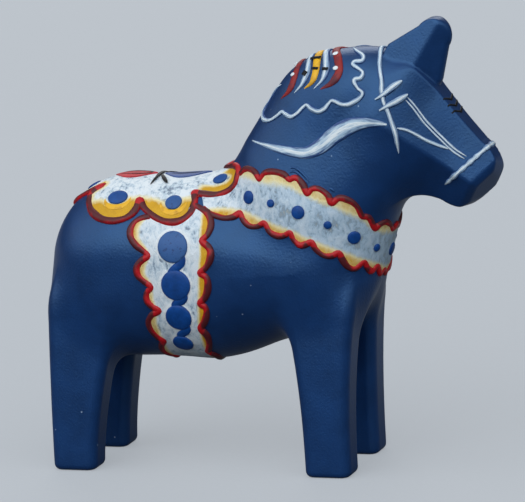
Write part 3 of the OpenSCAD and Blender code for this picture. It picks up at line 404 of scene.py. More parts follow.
def smooth_line(places, steps=6):
    """A smooth line through places, with a number of steps between each two."""
    k = np.asarray(places, float)
    a, b, c, d = np.vstack([k[:1], k[:-2]]), k[:-1], k[1:], np.vstack([k[2:], k[-1:]])
    t = (np.arange(steps) / steps)[None, :, None]
    a, b, c, d = (v[:, None, :] for v in (a, b, c, d))
    line = b + (c - a) * t / 2 + (2 * a - 5 * b + 4 * c - d) * t**2 / 2 + (3 * b - a - 3 * c + d) * t**3 / 2
    return np.vstack([line.reshape(-1, k.shape[1]), k[-1:]])


def flip(points, turn=-1):
    """Points of the right side on the left side, or with a turn of 1 as they are."""
    return points * [1, turn, 1]


def hand(n, seed, amount):
    """Slow wander of a hand-held brush along n steps, with a fixed phase for each stroke."""
    s = np.arange(n)
    return 1 + amount * (np.sin(s * 0.19 + seed * 1.7) + 0.6 * np.sin(s * 0.47 + seed * 2.9)) / 1.6


def mark(piece, key, values):
    """Keeps a number or a vector for each point of a piece, for its paint and its node tree."""
    values = np.asarray(values, np.float32)
    kind, field = ("FLOAT_VECTOR", "vector") if values.ndim == 2 else ("FLOAT", "value")
    piece.data.attributes.new(key, kind, "POINT").data.foreach_set(field, values.ravel())


def plate(name, grids, thickness, material, marks=()):
    """Closed thin coats that follow the skin, each from a grid of skin points; the marks fit the grids."""
    sunk = 0.1
    points, faces, values = [], [], {key: [] for key, _ in marks}
    first = 0
    for number, grid in enumerate(grids):
        rows, columns = grid.shape[:2]
        up = outward(grid)
        points += [(grid - up * sunk).reshape(-1, 3), (grid + up * thickness).reshape(-1, 3)]
        at = np.arange(rows * columns).reshape(rows, columns) + first
        n = rows * columns
        top = np.stack([at[:-1, :-1], at[1:, :-1], at[1:, 1:], at[:-1, 1:]], -1).reshape(-1, 4) + n
        edge = np.concatenate([at[0, :], at[1:, -1], at[-1, -2::-1], at[-2:0:-1, 0]])
        after = np.roll(edge, -1)
        walls = np.stack([edge, edge + n, after + n, after], -1)
        facing = np.cross(grid[1:, :-1] - grid[:-1, :-1], grid[:-1, 1:] - grid[:-1, :-1])
        if np.einsum("ijk,ijk->", facing, up[:-1, :-1]) < 0:
            top, walls = top[:, ::-1], walls[:, ::-1]
        faces += [top, top[:, ::-1] - n, walls]
        for key, value in marks:
            values[key] += [value[number].reshape(-1)] * 2
        first += 2 * n
    piece = shape(name, np.concatenate(points), np.concatenate(faces), material)
    piece.data.set_sharp_from_angle(angle=math.radians(50))
    for key, value in values.items():
        mark(piece, key, np.concatenate(value))
    return piece


def lay_down(piece, tree, inputs):
    """Runs a node tree on a piece, and keeps the outcome as its plain mesh."""
    modifier = piece.modifiers.new(tree.name, "NODES")
    modifier.node_group = tree
    for socket in tree.interface.items_tree:
        if socket.in_out == "INPUT" and socket.name in inputs:
            modifier[socket.identifier] = inputs[socket.name]
    depsgraph = bpy.context.evaluated_depsgraph_get()
    done = bpy.data.meshes.new_from_object(piece.evaluated_get(depsgraph), preserve_all_data_layers=True,
                                           depsgraph=depsgraph)
    piece.modifiers.remove(modifier)
    line, piece.data = piece.data, done
    bpy.data.meshes.remove(line)
    done.name = piece.name


# Node tree for every piped rim, cord and brush stroke: a line on the skin, swept with a low oval section.
ridge_tree = bpy.data.node_groups.new("moulded_ridge", "GeometryNodeTree")
for name, kind in (("Line", "NodeSocketGeometry"), ("Section height", "NodeSocketFloat"),
                   ("Section points", "NodeSocketInt"), ("Paint", "NodeSocketMaterial")):
    ridge_tree.interface.new_socket(name, in_out="INPUT", socket_type=kind)
ridge_tree.interface.new_socket("Ridge", in_out="OUTPUT", socket_type="NodeSocketGeometry")
given = add(ridge_tree, "NodeGroupInput").outputs
line = add(ridge_tree, "GeometryNodeMeshToCurve", {"Mesh": given["Line"]})
up = add(ridge_tree, "GeometryNodeInputNamedAttribute", {"Name": "up"}, data_type="FLOAT_VECTOR")
upright = add(ridge_tree, "GeometryNodeSetCurveNormal", mode="FREE")
feed(ridge_tree, upright, {"Curve": line.outputs["Curve"], "Normal": up.outputs["Attribute"]})
circle = add(ridge_tree, "GeometryNodeCurvePrimitiveCircle",
             {"Resolution": given["Section points"], "Radius": 0.5})
position = add(ridge_tree, "GeometryNodeInputPosition").outputs[0]
spot = add(ridge_tree, "ShaderNodeSeparateXYZ", {"Vector": position})
wide = add(ridge_tree, "ShaderNodeMath", {0: spot.outputs["Y"], 1: 2.0}, operation="MULTIPLY")
marked = add(ridge_tree, "GeometryNodeStoreNamedAttribute",
             {"Geometry": circle.outputs["Curve"], "Name": "across", "Value": wide.outputs["Value"]},
             data_type="FLOAT", domain="POINT")
squash = add(ridge_tree, "ShaderNodeCombineXYZ", {"X": given["Section height"], "Y": 1.0, "Z": 1.0})
oval = add(ridge_tree, "GeometryNodeTransform",
           {"Geometry": marked.outputs["Geometry"], "Scale": squash.outputs["Vector"]})
breadth = add(ridge_tree, "GeometryNodeInputNamedAttribute", {"Name": "breadth"}, data_type="FLOAT")
swept = add(ridge_tree, "GeometryNodeCurveToMesh",
            {"Curve": upright.outputs["Curve"], "Profile Curve": oval.outputs["Geometry"],
             "Scale": breadth.outputs["Attribute"], "Fill Caps": True})
smooth = add(ridge_tree, "GeometryNodeSetShadeSmooth", {"Geometry": swept.outputs["Mesh"]})
whole = add(ridge_tree, "GeometryNodeRealizeInstances", {"Geometry": smooth.outputs["Geometry"]})
coated = add(ridge_tree, "GeometryNodeSetMaterial",
             {"Geometry": whole.outputs["Geometry"], "Material": given["Paint"]})
add(ridge_tree, "NodeGroupOutput", {"Ridge": coated.outputs["Geometry"]})


def ridge(name, lines, material, height=0.9, lift=0.0):
    """A piece of one or more strokes; each is its skin points, its breadths in mm, and 1 or -1 for the
    side of the line that has the brighter coat, or 0. A line that comes back to its start is closed."""
    spots, edges, ups, breadths, alongs, sides, bends = [], [], [], [], [], [], []
    first = 0
    for path, width, side in lines:
        closed = np.linalg.norm(path[0] - path[-1]) < 1e-6
        path = path[:-1] if closed else path
        n = len(path)
        up = outward(path)
        spots.append(path + up * lift)
        ups.append(up)
        breadths.append(np.broadcast_to(width, n + closed)[:n] * MM)
        step = np.linalg.norm(np.diff(path, axis=0), axis=1)
        alongs.append(np.concatenate([[0], np.cumsum(step)]))
        sides.append(np.full(n, float(side)))
        slope = np.gradient(path, axis=0)
        bend = np.linalg.norm(np.gradient(direction(slope), axis=0), axis=1) / np.linalg.norm(slope, axis=1)
        bends.append(np.convolve(np.pad(bend, 3, mode="edge"), np.ones(7) / 7, mode="valid"))
        edges += [(first + i, first + (i + 1) % n) for i in range(n if closed else n - 1)]
        first += n
    piece = shape(name, np.concatenate(spots), [], material, edges)
    for key, value in (("breadth", breadths), ("along", alongs), ("side", sides), ("bend", bends),
                       ("up", ups)):
        mark(piece, key, np.concatenate(value))
    lay_down(piece, ridge_tree, {"Section height": height, "Section points": 14, "Paint": material})
    return piece


# Node tree for every dot and bead: a low round blob on each point, dropped onto the skin of the body.
dot_tree = bpy.data.node_groups.new("laid_dots", "GeometryNodeTree")
for name, kind in (("Places", "NodeSocketGeometry"), ("Ground", "NodeSocketObject"),
                   ("Height", "NodeSocketFloat"), ("Edge power", "NodeSocketFloat"),
                   ("Ground coat", "NodeSocketFloat"), ("Paint", "NodeSocketMaterial")):
    dot_tree.interface.new_socket(name, in_out="INPUT", socket_type=kind)
dot_tree.interface.new_socket("Dots", in_out="OUTPUT", socket_type="NodeSocketGeometry")
given = add(dot_tree, "NodeGroupInput").outputs
position = add(dot_tree, "GeometryNodeInputPosition").outputs[0]
ball = add(dot_tree, "GeometryNodeMeshUVSphere", {"Segments": 32, "Rings": 18, "Radius": 1.0})
spot = add(dot_tree, "ShaderNodeSeparateXYZ", {"Vector": position})
tall = add(dot_tree, "GeometryNodeStoreNamedAttribute",
           {"Geometry": ball.outputs["Mesh"], "Name": "crown", "Value": spot.outputs["Z"]},
           data_type="FLOAT", domain="POINT")
flat = add(dot_tree, "GeometryNodeTransform",
           {"Geometry": tall.outputs["Geometry"], "Scale": (1.0, 1.0, 0.0)})
up, ahead, spread = (add(dot_tree, "GeometryNodeInputNamedAttribute", {"Name": name},
                         data_type="FLOAT_VECTOR").outputs["Attribute"] for name in ("up", "ahead", "spread"))
stood = add(dot_tree, "FunctionNodeAlignRotationToVector", {"Vector": up}, axis="Z")
aimed = add(dot_tree, "FunctionNodeAlignRotationToVector",
            {"Rotation": stood.outputs["Rotation"], "Vector": ahead}, axis="X", pivot_axis="Z")
blobs = add(dot_tree, "GeometryNodeInstanceOnPoints",
            {"Points": given["Places"], "Instance": flat.outputs["Geometry"],
             "Rotation": aimed.outputs["Rotation"], "Scale": spread})
whole = add(dot_tree, "GeometryNodeRealizeInstances", {"Geometry": blobs.outputs["Instances"]})
ground = add(dot_tree, "GeometryNodeObjectInfo", {"Object": given["Ground"]})
drop_from, drop_length = 4 * MM, 10 * MM
over = add(dot_tree, "ShaderNodeVectorMath", {0: up, "Scale": drop_from}, operation="SCALE")
start = add(dot_tree, "ShaderNodeVectorMath", {0: position, 1: over.outputs["Vector"]}, operation="ADD")
down = add(dot_tree, "ShaderNodeVectorMath", {0: up, "Scale": -1.0}, operation="SCALE")
met = add(dot_tree, "GeometryNodeRaycast",
          {"Target Geometry": ground.outputs["Geometry"], "Source Position": start.outputs["Vector"],
           "Ray Direction": down.outputs["Vector"], "Ray Length": drop_length})
crown = add(dot_tree, "GeometryNodeInputNamedAttribute", {"Name": "crown"}, data_type="FLOAT")
raised = add(dot_tree, "ShaderNodeMath", {0: crown.outputs["Attribute"], 1: 0.0}, operation="MAXIMUM")
dome = add(dot_tree, "ShaderNodeMath", {0: raised.outputs["Value"], 1: given["Edge power"]},
           operation="POWER")
rise = add(dot_tree, "ShaderNodeMath",
           {0: dome.outputs["Value"], 1: given["Height"], 2: given["Ground coat"]}, operation="MULTIPLY_ADD")
lift = add(dot_tree, "ShaderNodeVectorMath", {0: met.outputs["Hit Normal"], "Scale": rise.outputs["Value"]},
           operation="SCALE")
rest = add(dot_tree, "ShaderNodeVectorMath", {0: met.outputs["Hit Position"], 1: lift.outputs["Vector"]},
           operation="ADD")
moved = add(dot_tree, "GeometryNodeSetPosition",
            {"Geometry": whole.outputs["Geometry"], "Position": rest.outputs["Vector"]})
smooth = add(dot_tree, "GeometryNodeSetShadeSmooth", {"Geometry": moved.outputs["Geometry"]})
coated = add(dot_tree, "GeometryNodeSetMaterial",
             {"Geometry": smooth.outputs["Geometry"], "Material": given["Paint"]})
add(dot_tree, "NodeGroupOutput", {"Dots": coated.outputs["Geometry"]})


def dots(name, spots, radii, material, height=0.4, stretch=1.0, coat=COAT, power=0.6, worn=0.0):
    """A piece of blobs on skin points; stretch lengthens them along the horse, worn thins their paint."""
    n = len(spots)
    piece = shape(name, spots, [], material)
    radii, stretch = np.broadcast_to(radii, n), np.broadcast_to(stretch, n)
    mark(piece, "up", outward(spots))
    mark(piece, "ahead", np.broadcast_to([1.0, 0.0, 0.0], (n, 3)))
    mark(piece, "spread", np.stack([radii * stretch, radii, np.ones(n) / MM], -1) * MM)
    mark(piece, "worn", np.broadcast_to(worn, n))
    lay_down(piece, dot_tree, {"Ground": body, "Height": height * MM, "Edge power": power,
                               "Ground coat": coat * MM, "Paint": material})
    return piece


# Dry-brushed white acrylic: thick chalky dabs over a blue-grey undercoat that shows as fine scratches of 0.3
# to 1 mm; ochre is washed in along the rims and fades to cream within 2 mm, and a cool blue tint, set for
# each point, is strongest on the breast band towards the chest's middle.
white_field, tree, shader = new_material("dry_brushed_white_acrylic")
place = add(tree, "ShaderNodeTexCoord").outputs["Object"]
dragged = add(tree, "ShaderNodeMapping", {"Vector": place, "Scale": (1.0, 1.0, 0.55),
                                          "Rotation": (0.0, 0.5, 0.0)})
chalk = add(tree, "ShaderNodeTexNoise", {"Vector": dragged.outputs["Vector"], "Scale": 1.3 * PER_MM,
                                         "Detail": 5.0, "Roughness": 0.68, "Distortion": 0.4})
patch = add(tree, "ShaderNodeTexNoise", {"Vector": place, "Scale": 0.3 * PER_MM,
                                         "Detail": 3.0}).outputs["Fac"]
wash = add(tree, "ShaderNodeAttribute", attribute_name="wash").outputs["Fac"]
gild = add(tree, "ShaderNodeAttribute", attribute_name="gild").outputs["Fac"]
thinned = add(tree, "ShaderNodeMath", {0: wash, 1: -0.09, 2: chalk.outputs["Fac"]}, operation="MULTIPLY_ADD")
cover = add(tree, "ShaderNodeMath", {0: patch, 1: 0.6, 2: thinned.outputs["Value"]},
            operation="MULTIPLY_ADD").outputs["Value"]
white = add(tree, "ShaderNodeValToRGB", {"Fac": cover})
white.color_ramp.elements.new(0.67)
for stop, at, colour in zip(white.color_ramp.elements, (0.58, 0.67, 0.83),
                            ("#41618e", "#b6c8d5", "#dfe7ec")):
    stop.position, stop.color = at, linear(colour)
cool = add(tree, "ShaderNodeMath", {0: wash, 1: 0.5}, operation="MULTIPLY", use_clamp=True)
washed = add(tree, "ShaderNodeMix", {0: cool.outputs["Value"], COLOUR_A: white.outputs["Color"],
                                     COLOUR_B: linear("#93b6d2")}, data_type="RGBA")
dabbed = add(tree, "ShaderNodeMath", {0: cover, 1: -0.6, 2: gild}, operation="MULTIPLY_ADD").outputs["Value"]
cream = add(tree, "ShaderNodeMapRange", {"Value": dabbed, "From Min": -0.4, "From Max": -0.05})
ochre = add(tree, "ShaderNodeMapRange", {"Value": dabbed, "From Min": -0.05, "From Max": 0.35})
creamed = add(tree, "ShaderNodeMix", {0: cream.outputs["Result"], COLOUR_A: washed.outputs[COLOUR_OUT],
                                      COLOUR_B: linear("#e3d8a6")}, data_type="RGBA")
golden = add(tree, "ShaderNodeMix", {0: patch, COLOUR_A: linear("#b8880d"), COLOUR_B: linear("#dfae1c")},
             data_type="RGBA")
painted = add(tree, "ShaderNodeMix", {0: ochre.outputs["Result"], COLOUR_A: creamed.outputs[COLOUR_OUT],
                                      COLOUR_B: golden.outputs[COLOUR_OUT]}, data_type="RGBA")
bump = add(tree, "ShaderNodeBump", {"Height": cover, "Strength": 0.8, "Distance": 0.3 * MM})
feed(tree, shader, {"Base Color": painted.outputs[COLOUR_OUT], "Roughness": 0.5, "Specular IOR Level": 0.35,
                    "Normal": bump.outputs["Normal"]})

# Red rim enamel: a round piped line in dark maroon, with bright red where the second brush stroke caught
# it, on one flank and in the sharp bends; satin, with ripples of the brush of about 2 mm.
rim_enamel, tree, shader = new_material("red_rim_enamel")
place = add(tree, "ShaderNodeTexCoord").outputs["Object"]
across, side, bend = (add(tree, "ShaderNodeAttribute", attribute_name=name).outputs["Fac"]
                      for name in ("across", "side", "bend"))
inner = add(tree, "ShaderNodeMath", {0: across, 1: side}, operation="MULTIPLY")
sharp = add(tree, "ShaderNodeMapRange", {"Value": bend, "From Min": 0.35, "From Max": 0.95})
caught = add(tree, "ShaderNodeMath", {0: inner.outputs["Value"], 1: 0.55, 2: sharp.outputs["Result"]},
             operation="MULTIPLY_ADD")
ripple = add(tree, "ShaderNodeTexNoise", {"Vector": place, "Scale": 0.42 * PER_MM, "Detail": 4.0})
wander = add(tree, "ShaderNodeMath", {0: ripple.outputs["Fac"], 1: 1.6, 2: caught.outputs["Value"]},
             operation="MULTIPLY_ADD")
bright = add(tree, "ShaderNodeMapRange", {"Value": wander.outputs["Value"], "From Min": 0.85,
                                          "From Max": 1.35})
red_coat = add(tree, "ShaderNodeMix", {0: bright.outputs["Result"], COLOUR_A: linear("#521a21"),
                                       COLOUR_B: linear("#ae121b")}, data_type="RGBA")
bump = add(tree, "ShaderNodeBump", {"Height": ripple.outputs["Fac"], "Strength": 0.6, "Distance": 0.2 * MM})
feed(tree, shader, {"Base Color": red_coat.outputs[COLOUR_OUT], "Roughness": 0.4, "Specular IOR Level": 0.3,
                    "Normal": bump.outputs["Normal"]})

# Cobalt bead paint: clear strong blue, satin; where it is worn thin it greys, and dark pits of about 0.5 mm
# show in it.
bead_blue, tree, shader = new_material("cobalt_bead_paint")
place = add(tree, "ShaderNodeTexCoord").outputs["Object"]
pool = add(tree, "ShaderNodeTexNoise", {"Vector": place, "Scale": 0.5 * PER_MM, "Detail": 4.0,
                                        "Roughness": 0.65}).outputs["Fac"]
blue_shade = add(tree, "ShaderNodeValToRGB", {"Fac": pool})
for stop, at, colour in zip(blue_shade.color_ramp.elements, (0.3, 0.7), ("#0a3470", "#124a95")):
    stop.position, stop.color = at, linear(colour)
worn = add(tree, "ShaderNodeAttribute", attribute_name="worn").outputs["Fac"]
greyed = add(tree, "ShaderNodeMix", {0: worn, COLOUR_A: blue_shade.outputs["Color"],
                                     COLOUR_B: linear("#3f659a")}, data_type="RGBA")
pits = add(tree, "ShaderNodeTexNoise", {"Vector": place, "Scale": 1.7 * PER_MM, "Detail": 2.0})
pitted = add(tree, "ShaderNodeMapRange", {"Value": pits.outputs["Fac"], "From Min": 0.33, "From Max": 0.42,
                                          "To Min": 1.0, "To Max": 0.0})
deep = add(tree, "ShaderNodeMath", {0: pitted.outputs["Result"], 1: worn}, operation="MULTIPLY")
pocked = add(tree, "ShaderNodeMix", {0: deep.outputs["Value"], COLOUR_A: greyed.outputs[COLOUR_OUT],
                                     COLOUR_B: linear("#2a4270")}, data_type="RGBA")
bump = add(tree, "ShaderNodeBump", {"Height": pool, "Strength": 0.5, "Distance": 0.2 * MM})
feed(tree, shader, {"Base Color": pocked.outputs[COLOUR_OUT], "Roughness": 0.38, "Specular IOR Level": 0.22,
                    "Normal": bump.outputs["Normal"]})

# Ochre yellow acrylic: warm, half opaque, browner in patches of about 1 mm where the coat thins out.
yellow, tree, shader = new_material("ochre_yellow_acrylic")
place = add(tree, "ShaderNodeTexCoord").outputs["Object"]
thin = add(tree, "ShaderNodeTexNoise", {"Vector": place, "Scale": 0.8 * PER_MM,
                                        "Detail": 3.0}).outputs["Fac"]
yellow_shade = add(tree, "ShaderNodeValToRGB", {"Fac": thin})
for stop, at, colour in zip(yellow_shade.color_ramp.elements, (0.3, 0.55), ("#b9860c", "#e3ae12")):
    stop.position, stop.color = at, linear(colour)
bump = add(tree, "ShaderNodeBump", {"Height": thin, "Strength": 0.5, "Distance": 0.15 * MM})
feed(tree, shader, {"Base Color": yellow_shade.outputs["Color"], "Roughness": 0.45,
                    "Normal": bump.outputs["Normal"]})

# Black line paint: thin satin black from a fine brush.
black, tree, shader = new_material("black_line_paint")
feed(tree, shader, {"Base Color": linear("#0d0f13"), "Roughness": 0.45, "Specular IOR Level": 0.2})

# Leaf red: the clear red of the leaf on the back, laid on thick, with shades of about 2 mm.
leaf_red, tree, shader = new_material("clear_red_acrylic")
place = add(tree, "ShaderNodeTexCoord").outputs["Object"]
thick = add(tree, "ShaderNodeTexNoise", {"Vector": place, "Scale": 0.5 * PER_MM, "Detail": 3.0})
clear_red = add(tree, "ShaderNodeMix", {0: thick.outputs["Fac"], COLOUR_A: linear("#8e1a26"),
                                        COLOUR_B: linear("#cf2634")}, data_type="RGBA")
feed(tree, shader, {"Base Color": clear_red.outputs[COLOUR_OUT], "Roughness": 0.4,
                    "Specular IOR Level": 0.12})

saddle_rear = [[-21.9, 1], [-21.6, 4.8], [-20.6, 9], [-19.2, 12.6], [-17.4, 14.8], [-15.5, 14]]
lobe_top = [[-17, 17], [-17.6, 20.5]]
saddle_low = [[-17.5, 24], [-17.2, 30.2], [-16.3, 38.7], [-14.8, 45.3], [-13.2, 48.8], [-11.3, 49.8],
              [-9.5, 47.6], [-8.3, 43.3], [-7.7, 37.6], [-7.55, 32], [-6.6, 37.5], [-5.4, 42.4], [-3.8, 47.1],
              [-1.9, 50.1], [0, 50.1], [1.4, 47.1], [2.4, 41.6], [2.6, 34.5], [2.3, 27.8], [2.2, 25.2],
              [3.5, 26], [5.3, 26.7], [7.1, 26.2], [8.6, 25], [9.7, 22.8], [10.1, 19.5]]
saddle_front = [[10, 16.8], [8.9, 12], [7.3, 6.5], [6.3, 1.5]]
right_rim = on_saddle(smooth_line(saddle_rear + lobe_top + saddle_low + saddle_front))
rim_path = np.concatenate([right_rim, flip(right_rim[::-1]), right_rim[:1]])


def near(points, path):
    """Distance of each point to a line."""
    line_places = KDTree(len(path))
    for i, p in enumerate(path):
        line_places.insert(p, i)
    line_places.balance()
    return np.array([line_places.find(p)[2] for p in points.reshape(-1, 3)]).reshape(points.shape[:-1])


def cloth(x):
    """Upper and lower edge of the right half of the saddle, in degrees, at places along the horse."""
    low_edge = np.array([q for q in saddle_low if q[1] > 25.5 or q[0] > 5 or q[0] < -17])
    low_edge = smooth_line(low_edge[np.argsort(low_edge[:, 0], kind="stable")], 4)
    low = np.interp(x, low_edge[:, 0], low_edge[:, 1])
    rear_notch, front_notch = saddle_rear[-1][0], saddle_front[-1][0]
    rear = np.interp(x, [-17.5, -17, rear_notch], [20.5, 17, 14])
    front = np.interp(x, *np.transpose([*saddle_front[::-1], saddle_low[-1]]))
    top = np.where(x < rear_notch, rear, np.where(x > front_notch, front, 0))
    return np.minimum(top, low - 1), low


def red_rim(node, path, width, seed, bright_flank):
    """A piped rim along an edge, a little uneven in width as a hand leaves it."""
    width = width * hand(len(path), seed, 0.14)
    piece = ridge(node + "_red", [(path, width, bright_flank)], rim_enamel, 0.8)
    take_place(piece, "red_paint", node)


x = np.linspace(-17.4, 10.0, 130)[:, None]
s = np.linspace(0, 1, 48)[None, :]
top, low = cloth(x)
half = on_trunk(GIRTH_X + x + 0 * s, mix(top, low - 0.6, s))
rim_distance = near(half, right_rim)
drop = mix(top, low, s)
lobes = ease((drop - 25) / 13) * ease((3.9 - rim_distance) / 2.4) * (x < 3.2)
front_lobe = ease((x - 2.0) / 2.0) * ease((drop - 7) / 6) * ease((2.4 - rim_distance) / 1.4)
rear_side = 0.5 * ease((-11.5 - x) / 3) * ease((1.8 - rim_distance) / 1.2)
half_gild = np.maximum(np.maximum(lobes, front_lobe), rear_side)
x = np.linspace(-21.8, -15.3, 40)[:, None]
rear_lobe = on_trunk(GIRTH_X + x + 0 * s, np.interp(x, *np.transpose(saddle_rear)) * mix(-1, 1, s))
rear_gild = 0.9 * ease((1.9 - near(rear_lobe, rim_path)) / 1.2)
gilds = [half_gild, half_gild, rear_gild]
piece = plate("saddle_cloth_white", [half, flip(half), rear_lobe], COAT, white_field,
              [("gild", gilds), ("wash", [np.full(gild.shape, 0.1) for gild in gilds])])
take_place(piece, "white_field_paint", "saddle_field_right", "saddle_field_left")
red_rim("saddle_rim", rim_path, 1.35, 1, 1)

piece = dots("saddle_rear_dot_blue", on_saddle(np.array([[-18.4, 0.0]])), 1.1, bead_blue, 0.3, 1.2)
take_place(piece, "bead_blue_paint")
dot_places = np.array([[-11.6, 30.1], [-1.2, 33.9], [6.3, 14.6]])
crescent_half_length, crescent_drop = 1.6 + 0.75, (1.3 + 0.75) * DEGREES_PER_MM
for side_name, turn in SIDES:
    piece = dots("saddle_dots_" + side_name + "_blue", flip(on_saddle(dot_places), turn), [1.42, 1.45, 1.02],
                 bead_blue, 0.42, [1.28, 1.05, 1.5], worn=[0.15, 0.55, 0.2])
    take_place(piece, "bead_blue_paint", "saddle_dots_" + side_name)
    arcs = []
    for dot_place in dot_places[:2]:
        a = np.radians(np.linspace(0, 180, 40))
        q = dot_place + np.stack([crescent_half_length * np.cos(a), crescent_drop * np.sin(a)], -1)
        arcs.append((flip(on_saddle(q), turn), 1.1 * np.sin(np.linspace(0.1, math.pi - 0.1, len(q))), 0))
    piece = ridge("saddle_crescents_" + side_name + "_yellow", arcs, yellow, 0.14, COAT)
    take_place(piece, "yellow_paint", "saddle_crescents_" + side_name)


def leaf(start, end, half_angle):
    t = np.linspace(0, 1, 30)[:, None]
    width = half_angle * np.maximum(np.sin(math.pi * t**0.85), 0.05)
    return on_trunk(GIRTH_X + mix(start, end, t) + 0 * width * np.ones(9), width * np.linspace(-1, 1, 9))


def vein(places, width):
    path = on_saddle(smooth_line(places, 8))
    t = np.linspace(0, 1, len(path))
    return path, width * np.maximum(np.sin(math.pi * t) ** 0.7, 0.15), 0


piece = plate("saddle_leaf_red", [leaf(-14.2, -6.6, 9.8)], COAT + 0.18, leaf_red)
take_place(piece, "red_paint", "saddle_leaf_red")
piece = plate("saddle_leaf_blue", [leaf(-5.2, 3.4, 8.4)], COAT + 0.18, bead_blue)
take_place(piece, "bead_blue_paint", "saddle_leaf_blue")
red_leaf_vein = [[-13.0, 3.5], [-11, 4.6], [-8.6, 3.4], [-7.6, 0], [-8.6, -3.4], [-11, -4.6], [-13.0, -3.5]]
strokes = [vein([[-6.4, 18], [-6.0, 9], [-5.9, 0], [-6.0, -9], [-6.4, -18]], 0.75), vein(red_leaf_vein, 0.4),
           vein([[-4.0, 0.5], [-1, 1.6], [1.6, 0.4]], 0.35)]
for _, turn in SIDES:
    strokes.append(vein([[-5.5, 4 * turn], [-4.4, 11 * turn], [-3.5, 16 * turn]], 0.75))
piece = ridge("saddle_vein_strokes_black", strokes, black, 0.3, COAT + 0.2)
take_place(piece, "black_paint", "saddle_veins")


# Girth: a scalloped white strap from the saddle down round the belly, with a red rim on each edge and a
# string of flat blue beads that get smaller downwards, joined by short curled necks. It is moulded and
# painted like the saddle. Its edges are given as degrees from the spine, and mm from its middle.
girth_rear = [[46, -5], [47.5, -6.5], [51.5, -7.7], [58, -8.2], [64, -7.9], [69.5, -6.9], [73.5, -5.7],
              [77.5, -4.8], [81.5, -6], [87, -6.9], [93.5, -6.8], [98, -5.9], [103, -4.6], [108, -5.4],
              [113.5, -5.5], [118, -4.7], [121, -3.6], [124.5, -5], [129.5, -5.8], [136, -5.7], [142, -4.9],
              [145.5, -4.2], [151, -5], [158, -5.3], [165, -4.8], [169, -4.1], [174, -4.8], [180, -5]]
girth_front = [[36.5, 2.8], [39.5, 4.2], [42.5, 5.3], [48, 6], [53.5, 6.2], [60, 5.8], [65, 4.9], [70, 6.1],
               [75, 6.5], [81.5, 6.2], [87, 5.4], [91, 4.5], [95, 5.6], [103, 5.7], [110, 5.1], [115, 4.1],
               [118, 4.9], [122.5, 5], [128.5, 4.4], [133.5, 3.5], [139, 4.2], [146.5, 4.1], [153, 3.4],
               [156, 3.1], [161, 3.9], [169, 3.9], [174, 3.4], [180, 3.3]]


def carried_over(half):
    """A line or a grid of the right side, carried on over the middle to the left side."""
    return np.concatenate([half, flip(half[-2::-1])])


def round_belly(places):
    q = smooth_line(places)
    q = q[q[:, 0] >= places[0][0]]
    return carried_over(on_trunk(GIRTH_X + q[:, 1], q[:, 0]))


def edge_at(places, at):
    """The place across a strap of its edge, at places along the strap."""
    line = smooth_line(places, 4)
    return np.interp(at, line[:, 0], line[:, 1])


angle = np.linspace(38, 322, 560)[:, None]
fold = np.minimum(angle, 360 - angle)
rear_edge, front_edge = edge_at(girth_rear, fold), edge_at(girth_front, fold)
x = mix(rear_edge + 0.25, front_edge - 0.25, np.linspace(0, 1, 48)[None, :])
strap = on_trunk(GIRTH_X + x, np.maximum(fold + 0 * x, cloth(x)[1] + 1.5))
strap[angle[:, 0] > 180] *= [1, -1, 1]
cusps_rear = np.interp(fold, [46, 77.5, 103, 121, 145.5, 169], [-5.6, -4.9, -4.7, -4.1, -4.3, -4.2])
cusps_front = np.interp(fold, [39, 65, 91, 115, 133.5, 156], [4.6, 4.9, 4.5, 4.1, 3.5, 3.2])
rim_distance = np.minimum(x - rear_edge, front_edge - x)
crowns = np.maximum(0.62 * ease((cusps_rear + 0.9 - x) / 1.4) * ease((2.1 - rim_distance) / 1.3),
                    ease((x - cusps_front + 0.75) / 1.2) * ease((2.6 - rim_distance) / 1.3))
bead_spots = on_saddle(np.array([[-0.3, 70.1], [0, 101.1], [-0.1, 125.6], [-0.6, 146.5]]))
bead_sizes = 2.7 * np.array([1, 0.98, 0.87, 0.68])
halo = np.zeros(crowns.shape)
for spot, radius in zip(bead_spots, bead_sizes):
    for _, turn in SIDES:
        bead_distance = np.linalg.norm(strap - flip(spot, turn), axis=-1)
        halo = np.maximum(halo, ease((radius + 0.55 - bead_distance) / 0.5))
piece = plate("girth_strap_white", [strap], COAT, white_field,
              [("gild", [crowns]), ("wash", [0.3 - 1.4 * halo])])
take_place(piece, "white_field_paint", "girth_field")
red_rim("girth_rim_rear", round_belly(girth_rear), 1.25, 2, -1)
red_rim("girth_rim_front", round_belly(girth_front), 1.25, 3, 1)


def steps_to_end(n):
    return np.minimum(np.arange(n), np.arange(n)[::-1])


neck_places = [[[0.8, 75], [1.3, 79.5], [1.1, 83.5], [0.2, 87], [-0.6, 91], [-0.7, 95.5]],
               [[0.9, 106], [1.3, 110], [0.9, 113], [-0.2, 115.5], [-0.7, 120]],
               [[0.7, 130], [1.0, 133.5], [0.5, 136.5], [-0.4, 139], [-0.8, 143]]]
for side_name, turn in SIDES:
    piece = dots("girth_beads_" + side_name + "_blue", flip(bead_spots, turn), bead_sizes, bead_blue,
                 0.5, power=0.5, worn=[0.75, 0.05, 0.0, 0.0])
    take_place(piece, "bead_blue_paint", "girth_beads_" + side_name)
    lines = []
    for places in neck_places:
        path = flip(on_saddle(smooth_line(places)), turn)
        lines.append((path, 1.5 * np.minimum(1, 0.6 + 0.1 * steps_to_end(len(path))), 0))
    piece = ridge("girth_bead_necks_" + side_name + "_blue", lines, bead_blue, 0.32, COAT)
    take_place(piece, "bead_blue_paint", "girth_links_" + side_name)


